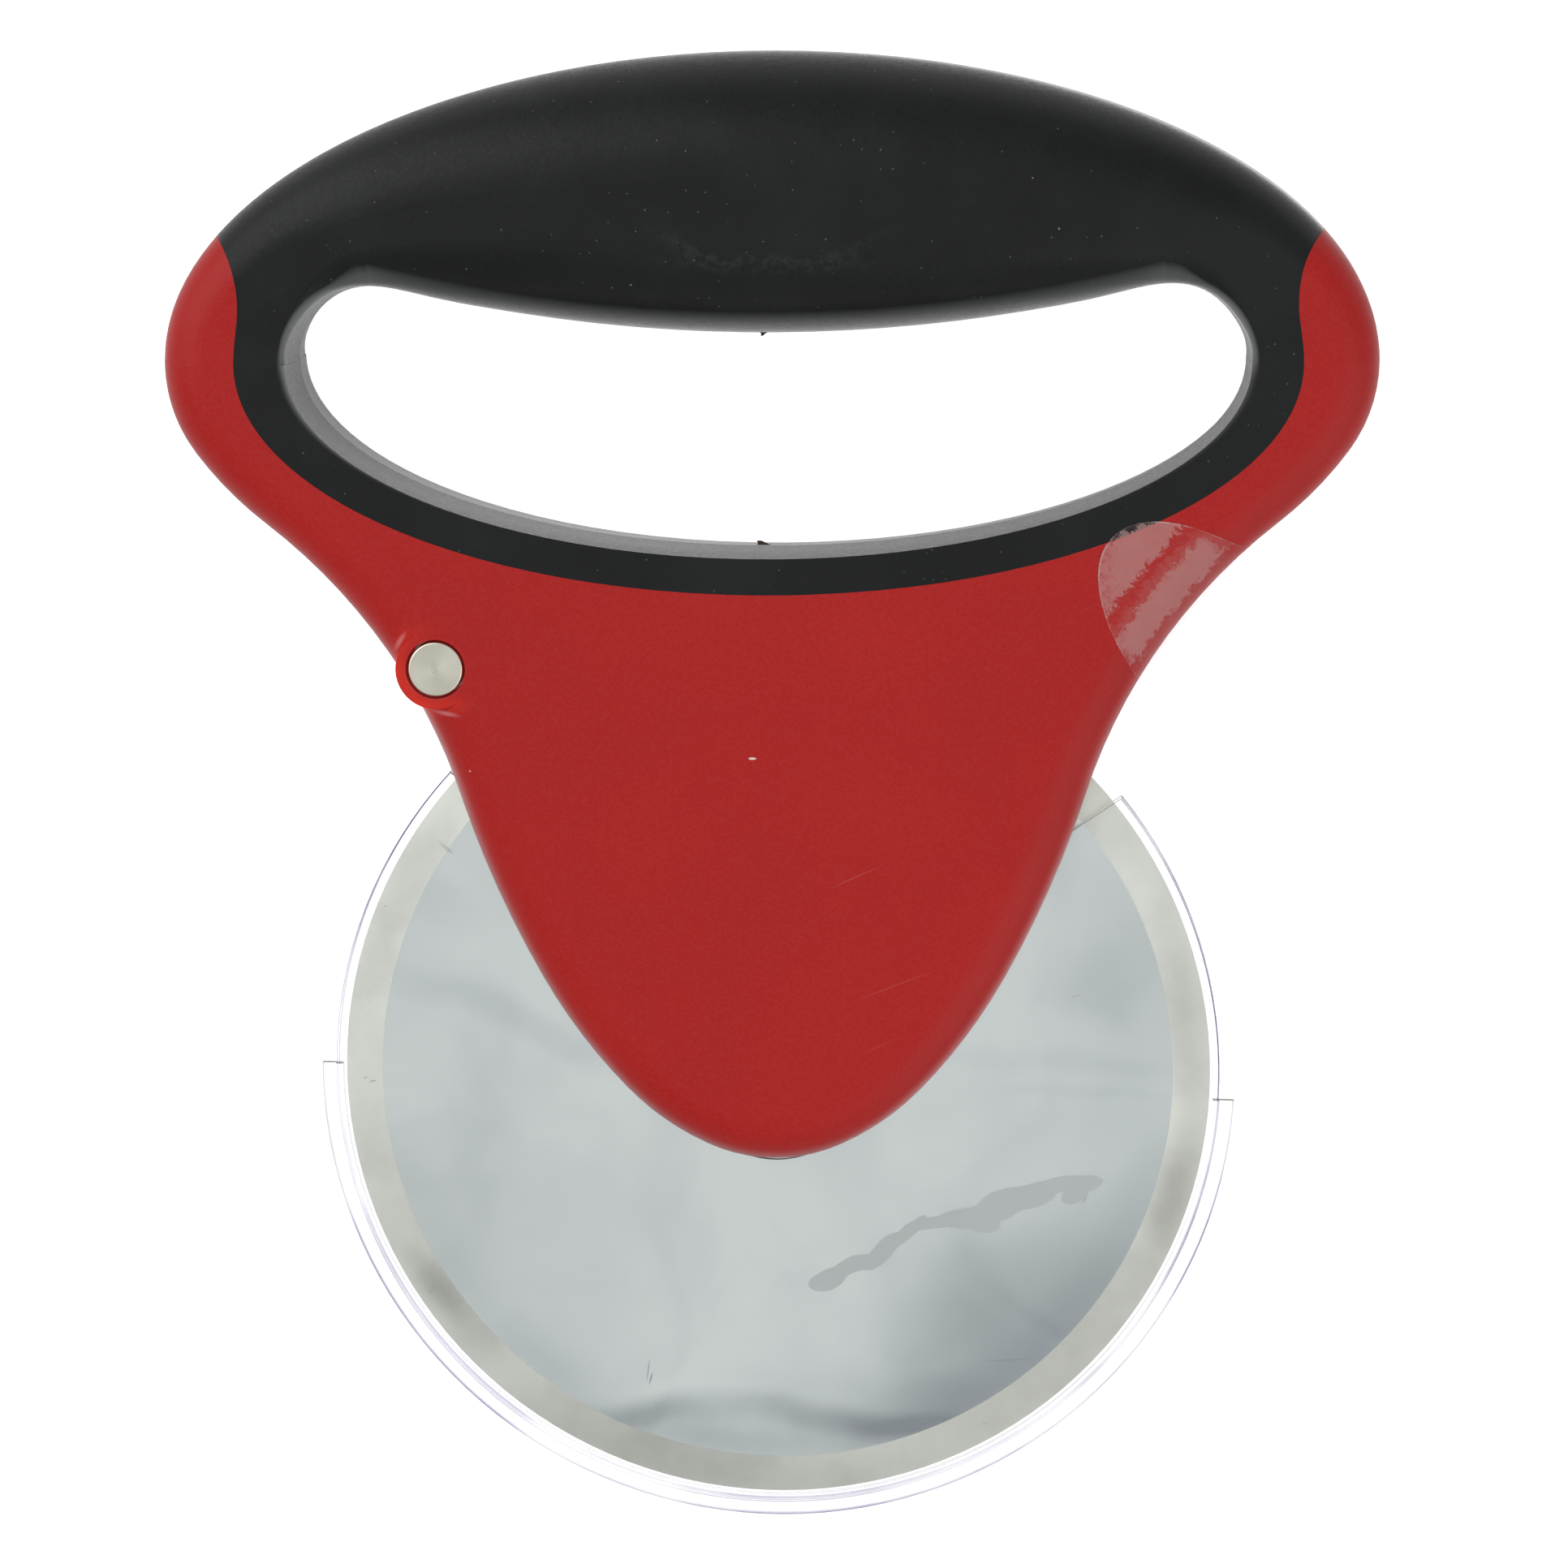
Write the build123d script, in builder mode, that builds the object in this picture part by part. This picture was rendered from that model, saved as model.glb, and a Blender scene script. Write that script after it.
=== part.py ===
from build123d import *
import math
import os

# Pizza cutter wheel with a loop grip, a swing-open rear cover and a clear blade guard.
# Millimetres, +Z up. The tool lies on its back with its front face up. Heights are
# measured from the blade's middle plane and outlines from the wheel's centre, with the
# grip towards +Y. level() and pivot_level() move both into the part's frame.

# Wheel
blade_radius = 50.8
blade_thickness = 1.0
bevel_width = 4.3
edge_thickness = 0.1
blade_bore_radius = 6.0
hub_spigot_clearance = 0.05
hub_flange_radius = 8.0
hub_flange_thickness = 1.05
hub_side_gap = 0.3
axle_radius = 3.0
axle_clearance = 0.06
axle_seat_depth = 4.95
axle_chamfer = 0.2
hub_boss_radius = 7.6
cover_pad_radius = 6.5

# Blade guard
guard_edge_gap = 0.4
guard_rim_thickness = 0.7
guard_lip_width = 1.8
guard_lip_half = 0.5
guard_side_gap = 0.25
guard_wall = 0.8
guard_rim_line = -1.33
guard_turn = -2.18
guard_notch_side_gap = 2.0
guard_notch_round_gap = 2.5
guard_flare_rise = 5.5
guard_flare_angle = 36.0
slot_clearance = 0.6

# Handle outline
handle_half_width = 69.9
grip_crown = 35.3
tip_drop = 9.66
bridge_height = 9.4
# Junctions of the tangent arcs from the tip up the right edge, as shares of the half
# width and of the height from the tip to the widest place
edge_shares = [
    (0.1114, 0.0181),
    (0.2460, 0.0894),
    (0.3852, 0.2298),
    (0.5196, 0.4606),
    (0.8360, 0.7997),
]

# Handle thickness and edges
shell_depth = 7.05
grip_swell = 3.5
edge_radius = 5.0
inner_edge_radius = 0.8
wall_draft = 0.63
grip_outer_corner_x = 14.0
grip_outer_corner_z = 11.0
grip_inner_corner_x = 11.0
grip_inner_corner_z = 11.0
least_corner = 0.3

# Finger hole
ring_side_width = 15.2
hole_drop = 21.7
hole_lobe_radius = 8.6
underside_rise = 3.0

# Soft grip skin: its band round the finger hole, then its border up the shoulders
skin_thickness = 2.0
skin_band_side = 6.5
skin_band_bottom = 4.8
skin_waist_inset = 0.55
skin_waist_rise = 5.6
skin_shoulder_outset = 0.5
skin_shoulder_rise = 12.3
skin_top_outset = 2.4
skin_top_rise = 15.0
core_wall = 2.6

# Shells
shell_wall = 2.6
cover_gap = 0.3
rib_width = 1.6
rib_lines = 3
rib_turn = 30.0

# Rear cover line
land_height = 2.3
ledge_radius = 260.0

# Cover pivot, as shares of the half width and of the height from the tip to the
# widest place
pivot_shares = (-0.5508, 0.6236)

# Release button and pivot pieces
button_boss_radius = 4.6
button_radius = 3.2
button_gap = 0.28
button_recess = 0.2
button_top_wall = 0.8
button_skirt = 2.4
button_edge_radius = 0.25
button_dimple_radius = 0.45
button_dimple_depth = 0.15
button_travel = 1.6
button_stem_radius = 1.15
button_well_depth = 5.7
sleeve_flange_gap = 0.08
sleeve_flange_thickness = 0.8
sleeve_radius = 2.6
sleeve_bore_gap = 0.1
sleeve_end_play = 0.05
pin_radius = 0.6
pin_half_length = 3.4
pin_side_clearance = 0.05
pin_end_gap = 0.15
pin_groove_gap = 0.3
bearing_clearance = 0.06
bearing_web = 1.55
washer_radius = 3.4
washer_thickness = 0.4
washer_side_gap = 0.3
screw_head_inset = 0.2
screw_head_thickness = 1.2
screw_head_chamfer = 0.25
screw_end_gap = 0.25
screw_drive_width = 0.9
screw_drive_depth = 0.5

# Button spring
spring_wire_radius = 0.2
spring_side_gap = 0.3
spring_turns = 3.5
spring_end_inset = 0.05
spring_radius = 2.0
spring_measure_steps = 24

# One overrun for every cut
overrun = 2.0

# Places worked out from the sizes
hub_half_width = blade_thickness / 2 + hub_flange_thickness
slot_half = hub_half_width + hub_side_gap
shell_half = slot_half + shell_depth
grip_half = shell_half + grip_swell
cover_face = -slot_half - cover_gap
guard_wall_start = blade_thickness / 2 + guard_side_gap
guard_wall_end = guard_wall_start + guard_wall
guard_inner_radius = blade_radius + guard_edge_gap
guard_rim_radius = guard_inner_radius + guard_rim_thickness
guard_lip_radius = guard_rim_radius + guard_lip_width
guard_notch_half = hub_flange_radius + guard_notch_side_gap
guard_notch_radius = hub_flange_radius + guard_notch_round_gap
slot_radius = guard_rim_radius + slot_clearance
pocket_radius = slot_radius - shell_wall
ring_rise = slot_radius + bridge_height + hole_drop
crown_rise = ring_rise + grip_crown
outline_height = ring_rise + tip_drop
hub_y = (guard_lip_radius - crown_rise) / 2
mid_z = grip_half
hole_half_width = handle_half_width - ring_side_width
lobe_x = hole_half_width - hole_lobe_radius
underside_radius = (lobe_x**2 + underside_rise**2 - hole_lobe_radius**2) / (
    2 * (hole_lobe_radius - underside_rise)
)
underside_centre = ring_rise + underside_rise + underside_radius
lobe_lean = math.degrees(math.atan2(lobe_x, underside_centre - ring_rise))
lobe_sin = math.sin(math.radians(lobe_lean))
lobe_cos = math.cos(math.radians(lobe_lean))
skin_half_width = hole_half_width + skin_band_side
skin_drop = hole_drop + skin_band_bottom
pivot_x = pivot_shares[0] * handle_half_width
pivot_y = pivot_shares[1] * outline_height - tip_drop
ledge_centre = slot_radius + land_height + ledge_radius
pivot_reach = math.hypot(pivot_x, ledge_centre - pivot_y)
knuckle_radius = pivot_reach - ledge_radius
tangent_x = pivot_x - pivot_x * knuckle_radius / pivot_reach
button_top = shell_half - button_recess
button_cup_radius = spring_radius + spring_wire_radius + spring_side_gap
button_cup_top = button_top - button_top_wall
button_skirt_end = button_top - button_skirt
well_radius = button_radius + button_gap
well_floor = shell_half - button_well_depth
flange_top = well_floor + sleeve_flange_thickness
sleeve_bore_radius = button_stem_radius + sleeve_bore_gap
pin_height = cover_face - pin_end_gap - pin_radius
stem_end = pin_height - pin_radius - pin_end_gap
slot_top = pin_height + pin_radius + pin_end_gap
slot_bottom = pin_height - button_travel - pin_radius - pin_end_gap
groove_radius = pin_half_length + pin_groove_gap
web_start = pin_height - button_travel - pin_radius - pin_groove_gap
web_end = web_start - bearing_web
sleeve_end = web_end - sleeve_end_play
washer_end = sleeve_end - washer_thickness
head_end = washer_end - screw_head_thickness
screw_tip = stem_end - button_travel - screw_end_gap
counterbore_radius = washer_radius + washer_side_gap
span = 2 * handle_half_width


# Working plane parallel to the blade at a height above the blade's middle plane
def level(height):
    return Plane(origin=(0, hub_y, mid_z + height))


# Same plane with its origin on the cover pivot
def pivot_level(height):
    return Plane(origin=(pivot_x, hub_y + pivot_y, mid_z + height))


# Height of the finger hole's upper edge over a place across the handle
def hole_top(x):
    reach = abs(x)
    if reach < lobe_x - hole_lobe_radius * lobe_sin:
        return underside_centre - math.sqrt(underside_radius**2 - reach**2)
    rise = math.sqrt(max(hole_lobe_radius**2 - (reach - lobe_x) ** 2, 0))
    return ring_rise + rise


# Point where two equal-reach arcs between given ends and headings meet
def arc_joint(start, start_head, end, end_head):
    chord = end - start
    a = 2 * (1 - start_head.dot(end_head))
    b = 2 * chord.dot(start_head + end_head)
    reach = (math.sqrt(b**2 + 4 * a * chord.dot(chord)) - b) / (2 * a)
    return (start + end + (start_head - end_head) * reach) * 0.5


# Shield outline below the widest place: tangent arcs that end upright there, and their
# mirror image
def shield_outline():
    spots = [Vector(0, -tip_drop)]
    for x, y in edge_shares:
        spots.append(Vector(x * handle_half_width, y * outline_height - tip_drop))
    side = Vector(handle_half_width, ring_rise)
    with BuildSketch() as outline:
        with BuildLine():
            heading = Vector(1, 0)
            for start, end in zip(spots, spots[1:]):
                arc = TangentArc(start, end, tangent=heading)
                heading = arc % 1
            joint = arc_joint(spots[-1], heading, side, Vector(0, 1))
            arc = TangentArc(spots[-1], joint, tangent=heading)
            TangentArc(joint, side, tangent=arc % 1)
            Line(side, (0, ring_rise))
            mirror(about=Plane.YZ)
        make_face()
    return outline.sketch


# Finger hole outline, made larger all round by grow
def hole_outline(grow):
    lobe = hole_lobe_radius + grow
    touch_x = lobe_x - lobe * lobe_sin
    touch_y = ring_rise + lobe * lobe_cos
    top = ring_rise + underside_rise + grow
    with BuildSketch() as outline:
        with BuildLine():
            EllipticalCenterArc(
                (0, ring_rise),
                hole_half_width + grow,
                hole_drop + grow,
                start_angle=180,
                arc_size=180,
            )
            CenterArc((lobe_x, ring_rise), lobe, 0, 90 + lobe_lean)
            ThreePointArc((touch_x, touch_y), (0, top), (-touch_x, touch_y))
            CenterArc((-lobe_x, ring_rise), lobe, 90 - lobe_lean, 90 + lobe_lean)
        make_face()
    return outline.sketch


# Shield and lower half of the ring, with its rounded edge and the drafted finger hole
def plate_solid(inset):
    half = shell_half - inset
    with BuildPart() as plate:
        with BuildSketch(level(-half)):
            add(shield_outline())
        extrude(amount=2 * half)
        flats = plate.faces().filter_by(Axis.Z).edges()
        top_edge = hub_y + ring_rise - edge_radius / 2
        fillet([e for e in flats if e.center().Y < top_edge], edge_radius)
        for side in (1, -1):
            with BuildSketch(level(0)):
                add(hole_outline(inset))
            with BuildSketch(level(side * half)):
                add(hole_outline(inset + wall_draft))
            loft(mode=Mode.SUBTRACT, ruled=True)
    return plate.part


# Places of the grip's cross sections from the middle to the side: share of the hole's
# half width, angle on the outer edge, then how much of the full swell, of the outer
# corner and of the inner corner is reached there
section_shares = [
    (0, 90, 1, 1, 1),
    (0.2, 80, 0.965, 0.963, 0.975),
    (0.402, 70, 0.86, 0.85, 0.9),
    (0.56, 60.5, 0.69, 0.68, 0.77),
    (0.695, 51, 0.5, 0.5, 0.6),
    (0.804, 41.5, 0.32, 0.33, 0.4),
    (0.883, 32, 0.17, 0.19, 0.22),
    (0.94, 22, 0.08, 0.1, 0.1),
    (0.98, 12, 0.02, 0.03, 0.03),
    (1, 0, 0, 0, 0),
]
least_draft_share = 0.3


# Value that moves from one size to another by a share, kept above the least corner
def corner(start, end, share, inset):
    return max(start + share * (end - start) - inset, least_corner)


# Rounded cross section of the grip, square to its run
def grip_section(place, side, inset):
    hole_share, angle, swell, outer, inner = place
    x_in = side * hole_share * hole_half_width
    x_out = side * handle_half_width * math.cos(math.radians(angle))
    y_out = ring_rise + grip_crown * math.sin(math.radians(angle))
    start = Vector(x_in, hub_y + hole_top(x_in), mid_z)
    end = Vector(x_out, hub_y + y_out, mid_z)
    across = (end - start).normalized()
    half = (end - start).length / 2 - inset
    top = shell_half + swell * (grip_half - shell_half) - inset
    out_x = corner(edge_radius, grip_outer_corner_x, outer, inset)
    out_z = corner(edge_radius, grip_outer_corner_z, outer, inset)
    in_x = corner(inner_edge_radius, grip_inner_corner_x, inner, inset)
    in_z = corner(inner_edge_radius, grip_inner_corner_z, inner, inset)
    draft = wall_draft * (1 - (1 - least_draft_share) * inner)
    wall = draft - half
    with BuildSketch(
        Plane(origin=(start + end) * 0.5, x_dir=across, z_dir=(across.Y, -across.X, 0))
    ) as section:
        with BuildLine():
            Polyline((wall, top - in_z), (-half, 0), (wall, in_z - top))
            EllipticalCenterArc((wall + in_x, top - in_z), in_x, in_z, start_angle=90, arc_size=90)
            Line((wall + in_x, top), (half - out_x, top))
            EllipticalCenterArc((half - out_x, top - out_z), out_x, out_z, start_angle=0, arc_size=90)
            Line((half, top - out_z), (half, out_z - top))
            EllipticalCenterArc((half - out_x, out_z - top), out_x, out_z, start_angle=270, arc_size=90)
            Line((half - out_x, -top), (wall + in_x, -top))
            EllipticalCenterArc((wall + in_x, in_z - top), in_x, in_z, start_angle=180, arc_size=90)
        make_face()
    return section.sketch


# Upper half of the ring, lofted from side to side over the finger hole
def ring_solid(inset):
    sections = [grip_section(place, -1, inset) for place in reversed(section_shares[1:])]
    sections += [grip_section(place, 1, inset) for place in section_shares]
    with BuildPart() as ring:
        for section in sections:
            add(section)
        loft(sections=sections)
    return ring.part


# Region of the handle that the soft skin covers
def skin_region():
    with BuildPart() as region:
        with BuildSketch(level(-grip_half - overrun)):
            with BuildLine():
                EllipticalCenterArc(
                    (0, ring_rise), skin_half_width, skin_drop, start_angle=270, arc_size=90
                )
                side = (skin_half_width, ring_rise)
                waist = (skin_half_width - skin_waist_inset, ring_rise + skin_waist_rise)
                shoulder = (skin_half_width + skin_shoulder_outset, ring_rise + skin_shoulder_rise)
                top = (skin_half_width + skin_top_outset, ring_rise + skin_top_rise)
                Spline(side, waist, shoulder, top, tangents=[(0, 1), (1, 1)])
                corner_x = skin_half_width + skin_top_outset + span
                corner_y = ring_rise + skin_top_rise + span
                Polyline(top, (corner_x, corner_y), (0, corner_y))
                mirror(about=Plane.YZ)
            make_face()
        extrude(amount=2 * (grip_half + overrun))
    return region.part


# Region below the rear cover's upper line, moved up by gap
def cover_outline(gap):
    with BuildSketch() as region:
        with Locations((0, pivot_y - span / 2)):
            Rectangle(2 * span, span)
        with Locations((tangent_x + span / 2, pivot_y)):
            Rectangle(span, span)
        with Locations((0, ledge_centre)):
            Circle(ledge_radius - gap, mode=Mode.SUBTRACT)
        with Locations((pivot_x, pivot_y)):
            Circle(knuckle_radius + gap)
    return region.sketch


# Slab between two heights, wide enough to hold the handle
def slab(low, high):
    with BuildPart() as block:
        with BuildSketch(level(low)):
            Rectangle(2 * span, 4 * span)
        extrude(amount=high - low)
    return block.part


# Sector pockets inside a shell, with the ribs and the hub boss left standing
def pockets(low, high):
    with BuildPart() as hollow:
        with BuildSketch(level(low)):
            add(shield_outline())
            offset(amount=-shell_wall)
            Circle(pocket_radius, mode=Mode.INTERSECT)
            Circle(hub_boss_radius, mode=Mode.SUBTRACT)
            for line in range(rib_lines):
                angle = rib_turn + line * 180 / rib_lines
                Rectangle(2 * span, rib_width, rotation=angle, mode=Mode.SUBTRACT)
        extrude(amount=high - low)
    return hollow.part


# Disc or ring between two heights on a given plane maker
def disc(plane, low, high, radius, bore=0):
    with BuildPart() as body:
        with BuildSketch(plane(low)):
            Circle(radius)
            if bore > 0:
                Circle(bore, mode=Mode.SUBTRACT)
        extrude(amount=high - low)
    return body.part


# Whole handle, its core and the region of the skin
body = plate_solid(0) + ring_solid(0)
core = plate_solid(skin_thickness) + ring_solid(skin_thickness)
region = skin_region()
frame = (body - region) + (core & region)
top_height = grip_half + overrun

# Front frame
hollow_core = ring_solid(skin_thickness + core_wall)
with BuildPart() as front_frame:
    add(frame & slab(-slot_half, top_height))
    add(hollow_core, mode=Mode.SUBTRACT)
    add(disc(level, -slot_half - overrun, slot_half, slot_radius), mode=Mode.SUBTRACT)
    add(pockets(slot_half, shell_half - shell_wall), mode=Mode.SUBTRACT)
    with BuildSketch(level(slot_half)):
        Circle(axle_radius)
    extrude(amount=axle_seat_depth, mode=Mode.SUBTRACT)
    with BuildSketch(pivot_level(0)):
        Circle(button_boss_radius)
    extrude(amount=shell_half)
    with BuildSketch(pivot_level(well_floor)):
        Circle(well_radius)
    extrude(amount=button_well_depth + overrun, mode=Mode.SUBTRACT)
    with BuildSketch(pivot_level(-slot_half - overrun)):
        Circle(sleeve_radius)
    extrude(amount=slot_half + overrun + well_floor, mode=Mode.SUBTRACT)
front_frame.part.label = "front_frame"

# Rear frame
with BuildPart() as cover_zone:
    with BuildSketch(level(-top_height)):
        add(cover_outline(cover_gap))
    extrude(amount=2 * top_height)
with BuildPart() as rear_frame:
    add(frame & slab(-top_height, -slot_half))
    add(hollow_core, mode=Mode.SUBTRACT)
    add(cover_zone.part, mode=Mode.SUBTRACT)
rear_frame.part.label = "rear_frame"

# Soft skin of the grip, all round the core and the finger hole's wall
with BuildPart() as grip_overmold:
    add((body & region) - core)
grip_overmold.part.label = "grip_overmold"

# Rear cover
with BuildPart() as rear_cover:
    with BuildSketch(level(-shell_half - overrun)):
        add(cover_outline(0))
    extrude(amount=shell_half + overrun + cover_face)
    add(body, mode=Mode.INTERSECT)
    add(pockets(shell_wall - shell_half, cover_face + overrun), mode=Mode.SUBTRACT)
    with BuildSketch(level(cover_face)):
        Circle(cover_pad_radius)
    extrude(amount=-slot_half - cover_face)
    with BuildSketch(pivot_level(web_start)):
        Circle(groove_radius)
    extrude(amount=cover_face + overrun - web_start, mode=Mode.SUBTRACT)
    with BuildSketch(pivot_level(web_end - overrun)):
        Circle(sleeve_radius + bearing_clearance)
    extrude(amount=overrun + web_start - web_end + overrun, mode=Mode.SUBTRACT)
    with BuildSketch(pivot_level(-shell_half - overrun)):
        Circle(counterbore_radius)
    extrude(amount=shell_half + overrun + web_end, mode=Mode.SUBTRACT)
rear_cover.part.label = "rear_cover"

# Wheel axle
with BuildPart() as wheel_axle:
    with BuildSketch(level(-hub_half_width)):
        Circle(axle_radius)
    extrude(amount=hub_half_width + slot_half + axle_seat_depth)
    chamfer(wheel_axle.faces().filter_by(Axis.Z).edges(), axle_chamfer)
wheel_axle.part.label = "wheel_axle"

# Pivot sleeve with its two side slots
with BuildPart() as pivot_sleeve:
    with BuildSketch(pivot_level(sleeve_end)):
        Circle(sleeve_radius)
    extrude(amount=well_floor - sleeve_end)
    with BuildSketch(pivot_level(well_floor)):
        Circle(well_radius - sleeve_flange_gap)
    extrude(amount=sleeve_flange_thickness)
    with BuildSketch(pivot_level(sleeve_end)):
        Circle(sleeve_bore_radius)
    extrude(amount=flange_top - sleeve_end, mode=Mode.SUBTRACT)
    with BuildSketch(pivot_level(slot_bottom)):
        Rectangle(2 * groove_radius, 2 * (pin_radius + pin_side_clearance))
    extrude(amount=slot_top - slot_bottom, mode=Mode.SUBTRACT)
pivot_sleeve.part.label = "pivot_sleeve"

# Pivot washer
with BuildPart() as pivot_washer:
    with BuildSketch(pivot_level(washer_end)):
        Circle(washer_radius)
        Circle(sleeve_bore_radius, mode=Mode.SUBTRACT)
    extrude(amount=washer_thickness)
pivot_washer.part.label = "pivot_washer"

# Pivot screw with a straight drive
with BuildPart() as pivot_screw:
    with BuildSketch(pivot_level(head_end)):
        Circle(washer_radius - screw_head_inset)
    extrude(amount=screw_head_thickness)
    chamfer(pivot_screw.faces().sort_by(Axis.Z)[0].edges(), screw_head_chamfer)
    with BuildSketch(pivot_level(washer_end)):
        Circle(sleeve_bore_radius)
    extrude(amount=screw_tip - washer_end)
    with BuildSketch(pivot_level(head_end - overrun)):
        Rectangle(2 * washer_radius, screw_drive_width)
    extrude(amount=overrun + screw_drive_depth, mode=Mode.SUBTRACT)
pivot_screw.part.label = "pivot_screw"

# Release button: cup, stem and turned face
with BuildPart() as release_button:
    with BuildSketch(pivot_level(button_skirt_end)):
        Circle(button_radius)
    extrude(amount=button_skirt)
    fillet(release_button.faces().sort_by(Axis.Z)[-1].edges(), button_edge_radius)
    with BuildSketch(pivot_level(button_skirt_end)):
        Circle(button_cup_radius)
    extrude(amount=button_skirt - button_top_wall, mode=Mode.SUBTRACT)
    with BuildSketch(pivot_level(stem_end)):
        Circle(button_stem_radius)
    extrude(amount=button_cup_top - stem_end)
    with BuildSketch(pivot_level(button_top - button_dimple_depth)):
        Circle(button_dimple_radius)
    extrude(amount=button_dimple_depth, mode=Mode.SUBTRACT)
    with BuildSketch(Plane.YZ.offset(pivot_x - button_radius)):
        with Locations((hub_y + pivot_y, mid_z + pin_height)):
            Circle(pin_radius)
    extrude(amount=2 * button_radius, mode=Mode.SUBTRACT)
release_button.part.label = "release_button"

# Cross pin through the stem
with BuildPart() as lock_pin:
    with BuildSketch(Plane.YZ.offset(pivot_x - pin_half_length)):
        with Locations((hub_y + pivot_y, mid_z + pin_height)):
            Circle(pin_radius)
    extrude(amount=2 * pin_half_length)
lock_pin.part.label = "lock_pin"


# Point on the spring's helix and its heading, by the turns from its lower end
def helix(turn, rise):
    angle = 2 * math.pi * turn
    x = spring_radius * math.cos(angle)
    y = spring_radius * math.sin(angle)
    head = Vector(-2 * math.pi * y, 2 * math.pi * x, rise)
    return Vector(x, y, rise * turn), head.normalized()


# Button spring: one wire on pairs of arcs, two for each quarter turn
spring_low = flange_top + spring_wire_radius + spring_end_inset
spring_high = button_cup_top - spring_wire_radius - spring_end_inset
spring_rise = (spring_high - spring_low) / spring_turns
base = Vector(pivot_x, hub_y + pivot_y, mid_z + spring_low)
quarters = round(spring_turns * 4)
with BuildPart() as button_spring:
    with BuildLine() as wire:
        for quarter in range(quarters):
            start, start_head = helix(quarter / 4, spring_rise)
            end, end_head = helix((quarter + 1) / 4, spring_rise)
            joint = arc_joint(start, start_head, end, end_head)
            first = TangentArc(base + start, base + joint, tangent=start_head)
            TangentArc(base + joint, base + end, tangent=first % 1)
    with BuildSketch(Plane(origin=wire.line @ 0, z_dir=wire.line % 0)):
        Circle(spring_wire_radius)
    sweep()
button_spring.part.label = "button_spring"

# Least gap of the spring's wire to itself, measured on points of neighbouring turns
points = []
for step in range(quarters * spring_measure_steps // 4 + 1):
    points.append(helix(step / spring_measure_steps, spring_rise)[0])
least = span
for step, point in enumerate(points):
    for other in points[step + spring_measure_steps // 2:]:
        least = min(least, (point - other).length - 2 * spring_wire_radius)
print("button_spring least gap to itself", round(least, 3))

# Cutting wheel with a ground band on both sides
with BuildPart() as cutting_wheel:
    with BuildSketch(Plane(origin=(0, hub_y, mid_z), x_dir=(1, 0, 0), z_dir=(0, -1, 0))):
        with BuildLine():
            inner = blade_radius - bevel_width
            half = blade_thickness / 2
            tip = edge_thickness / 2
            Polyline(
                (blade_bore_radius, -half),
                (inner, -half),
                (blade_radius, -tip),
                (blade_radius, tip),
                (inner, half),
                (blade_bore_radius, half),
                close=True,
            )
        make_face()
    revolve(axis=Axis((0, hub_y, mid_z), (0, 0, 1)))
cutting_wheel.part.label = "cutting_wheel"


# One half of the nylon hub: a flange beside the disc and a spigot in its bore
def hub_half(side):
    half = blade_thickness / 2
    with BuildPart() as hub:
        with BuildSketch(level(side * half)):
            Circle(hub_flange_radius)
        extrude(amount=side * (hub_half_width - half))
        with BuildSketch(level(0)):
            Circle(blade_bore_radius - hub_spigot_clearance)
        extrude(amount=side * half)
        with BuildSketch(level(0)):
            Circle(axle_radius + axle_clearance)
        extrude(amount=side * hub_half_width, mode=Mode.SUBTRACT)
    return hub.part


with BuildPart() as wheel_hub_front:
    add(hub_half(1))
wheel_hub_front.part.label = "wheel_hub_front"

with BuildPart() as wheel_hub_rear:
    add(hub_half(-1))
wheel_hub_rear.part.label = "wheel_hub_rear"


# Flat outline that stays below the guard's open top: hub notch and flared walls
def guard_opening():
    reach = 2 * guard_lip_radius
    climb = reach * math.tan(math.radians(guard_flare_angle))
    with BuildSketch() as opening:
        with BuildLine():
            Polyline(
                (0, guard_flare_rise),
                (reach, guard_flare_rise + climb),
                (reach, guard_flare_rise + climb + reach),
                (-reach, guard_flare_rise + climb + reach),
                (-reach, guard_flare_rise + climb),
                close=True,
            )
        make_face()
        Circle(guard_notch_radius)
        with Locations((0, reach / 2)):
            Rectangle(2 * guard_notch_half, reach)
    return Rot(0, 0, guard_turn) * opening.sketch


# Half plane below the guard's rim line, turned with the guard
def guard_lower_half():
    reach = 2 * guard_lip_radius
    with BuildSketch() as lower:
        with Locations((0, guard_rim_line - reach / 2)):
            Rectangle(2 * reach, reach)
    return Rot(0, 0, guard_turn) * lower.sketch


# One half shell of the blade guard: side wall, and below the rim line the rim and lip
def guard_shell(side):
    with BuildPart() as shell:
        with BuildSketch(level(side * guard_wall_start)):
            Circle(guard_rim_radius)
            add(guard_opening(), mode=Mode.SUBTRACT)
        extrude(amount=side * guard_wall)
        for radius, height in ((guard_rim_radius, guard_wall_end), (guard_lip_radius, guard_lip_half)):
            with BuildSketch(level(0)):
                Circle(radius)
                Circle(guard_inner_radius, mode=Mode.SUBTRACT)
                add(guard_lower_half(), mode=Mode.INTERSECT)
            extrude(amount=side * height)
    return shell.part


with BuildPart() as guard_front_shell:
    add(guard_shell(1))
guard_front_shell.part.label = "guard_front_shell"

with BuildPart() as guard_rear_shell:
    add(guard_shell(-1))
guard_rear_shell.part.label = "guard_rear_shell"

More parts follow.
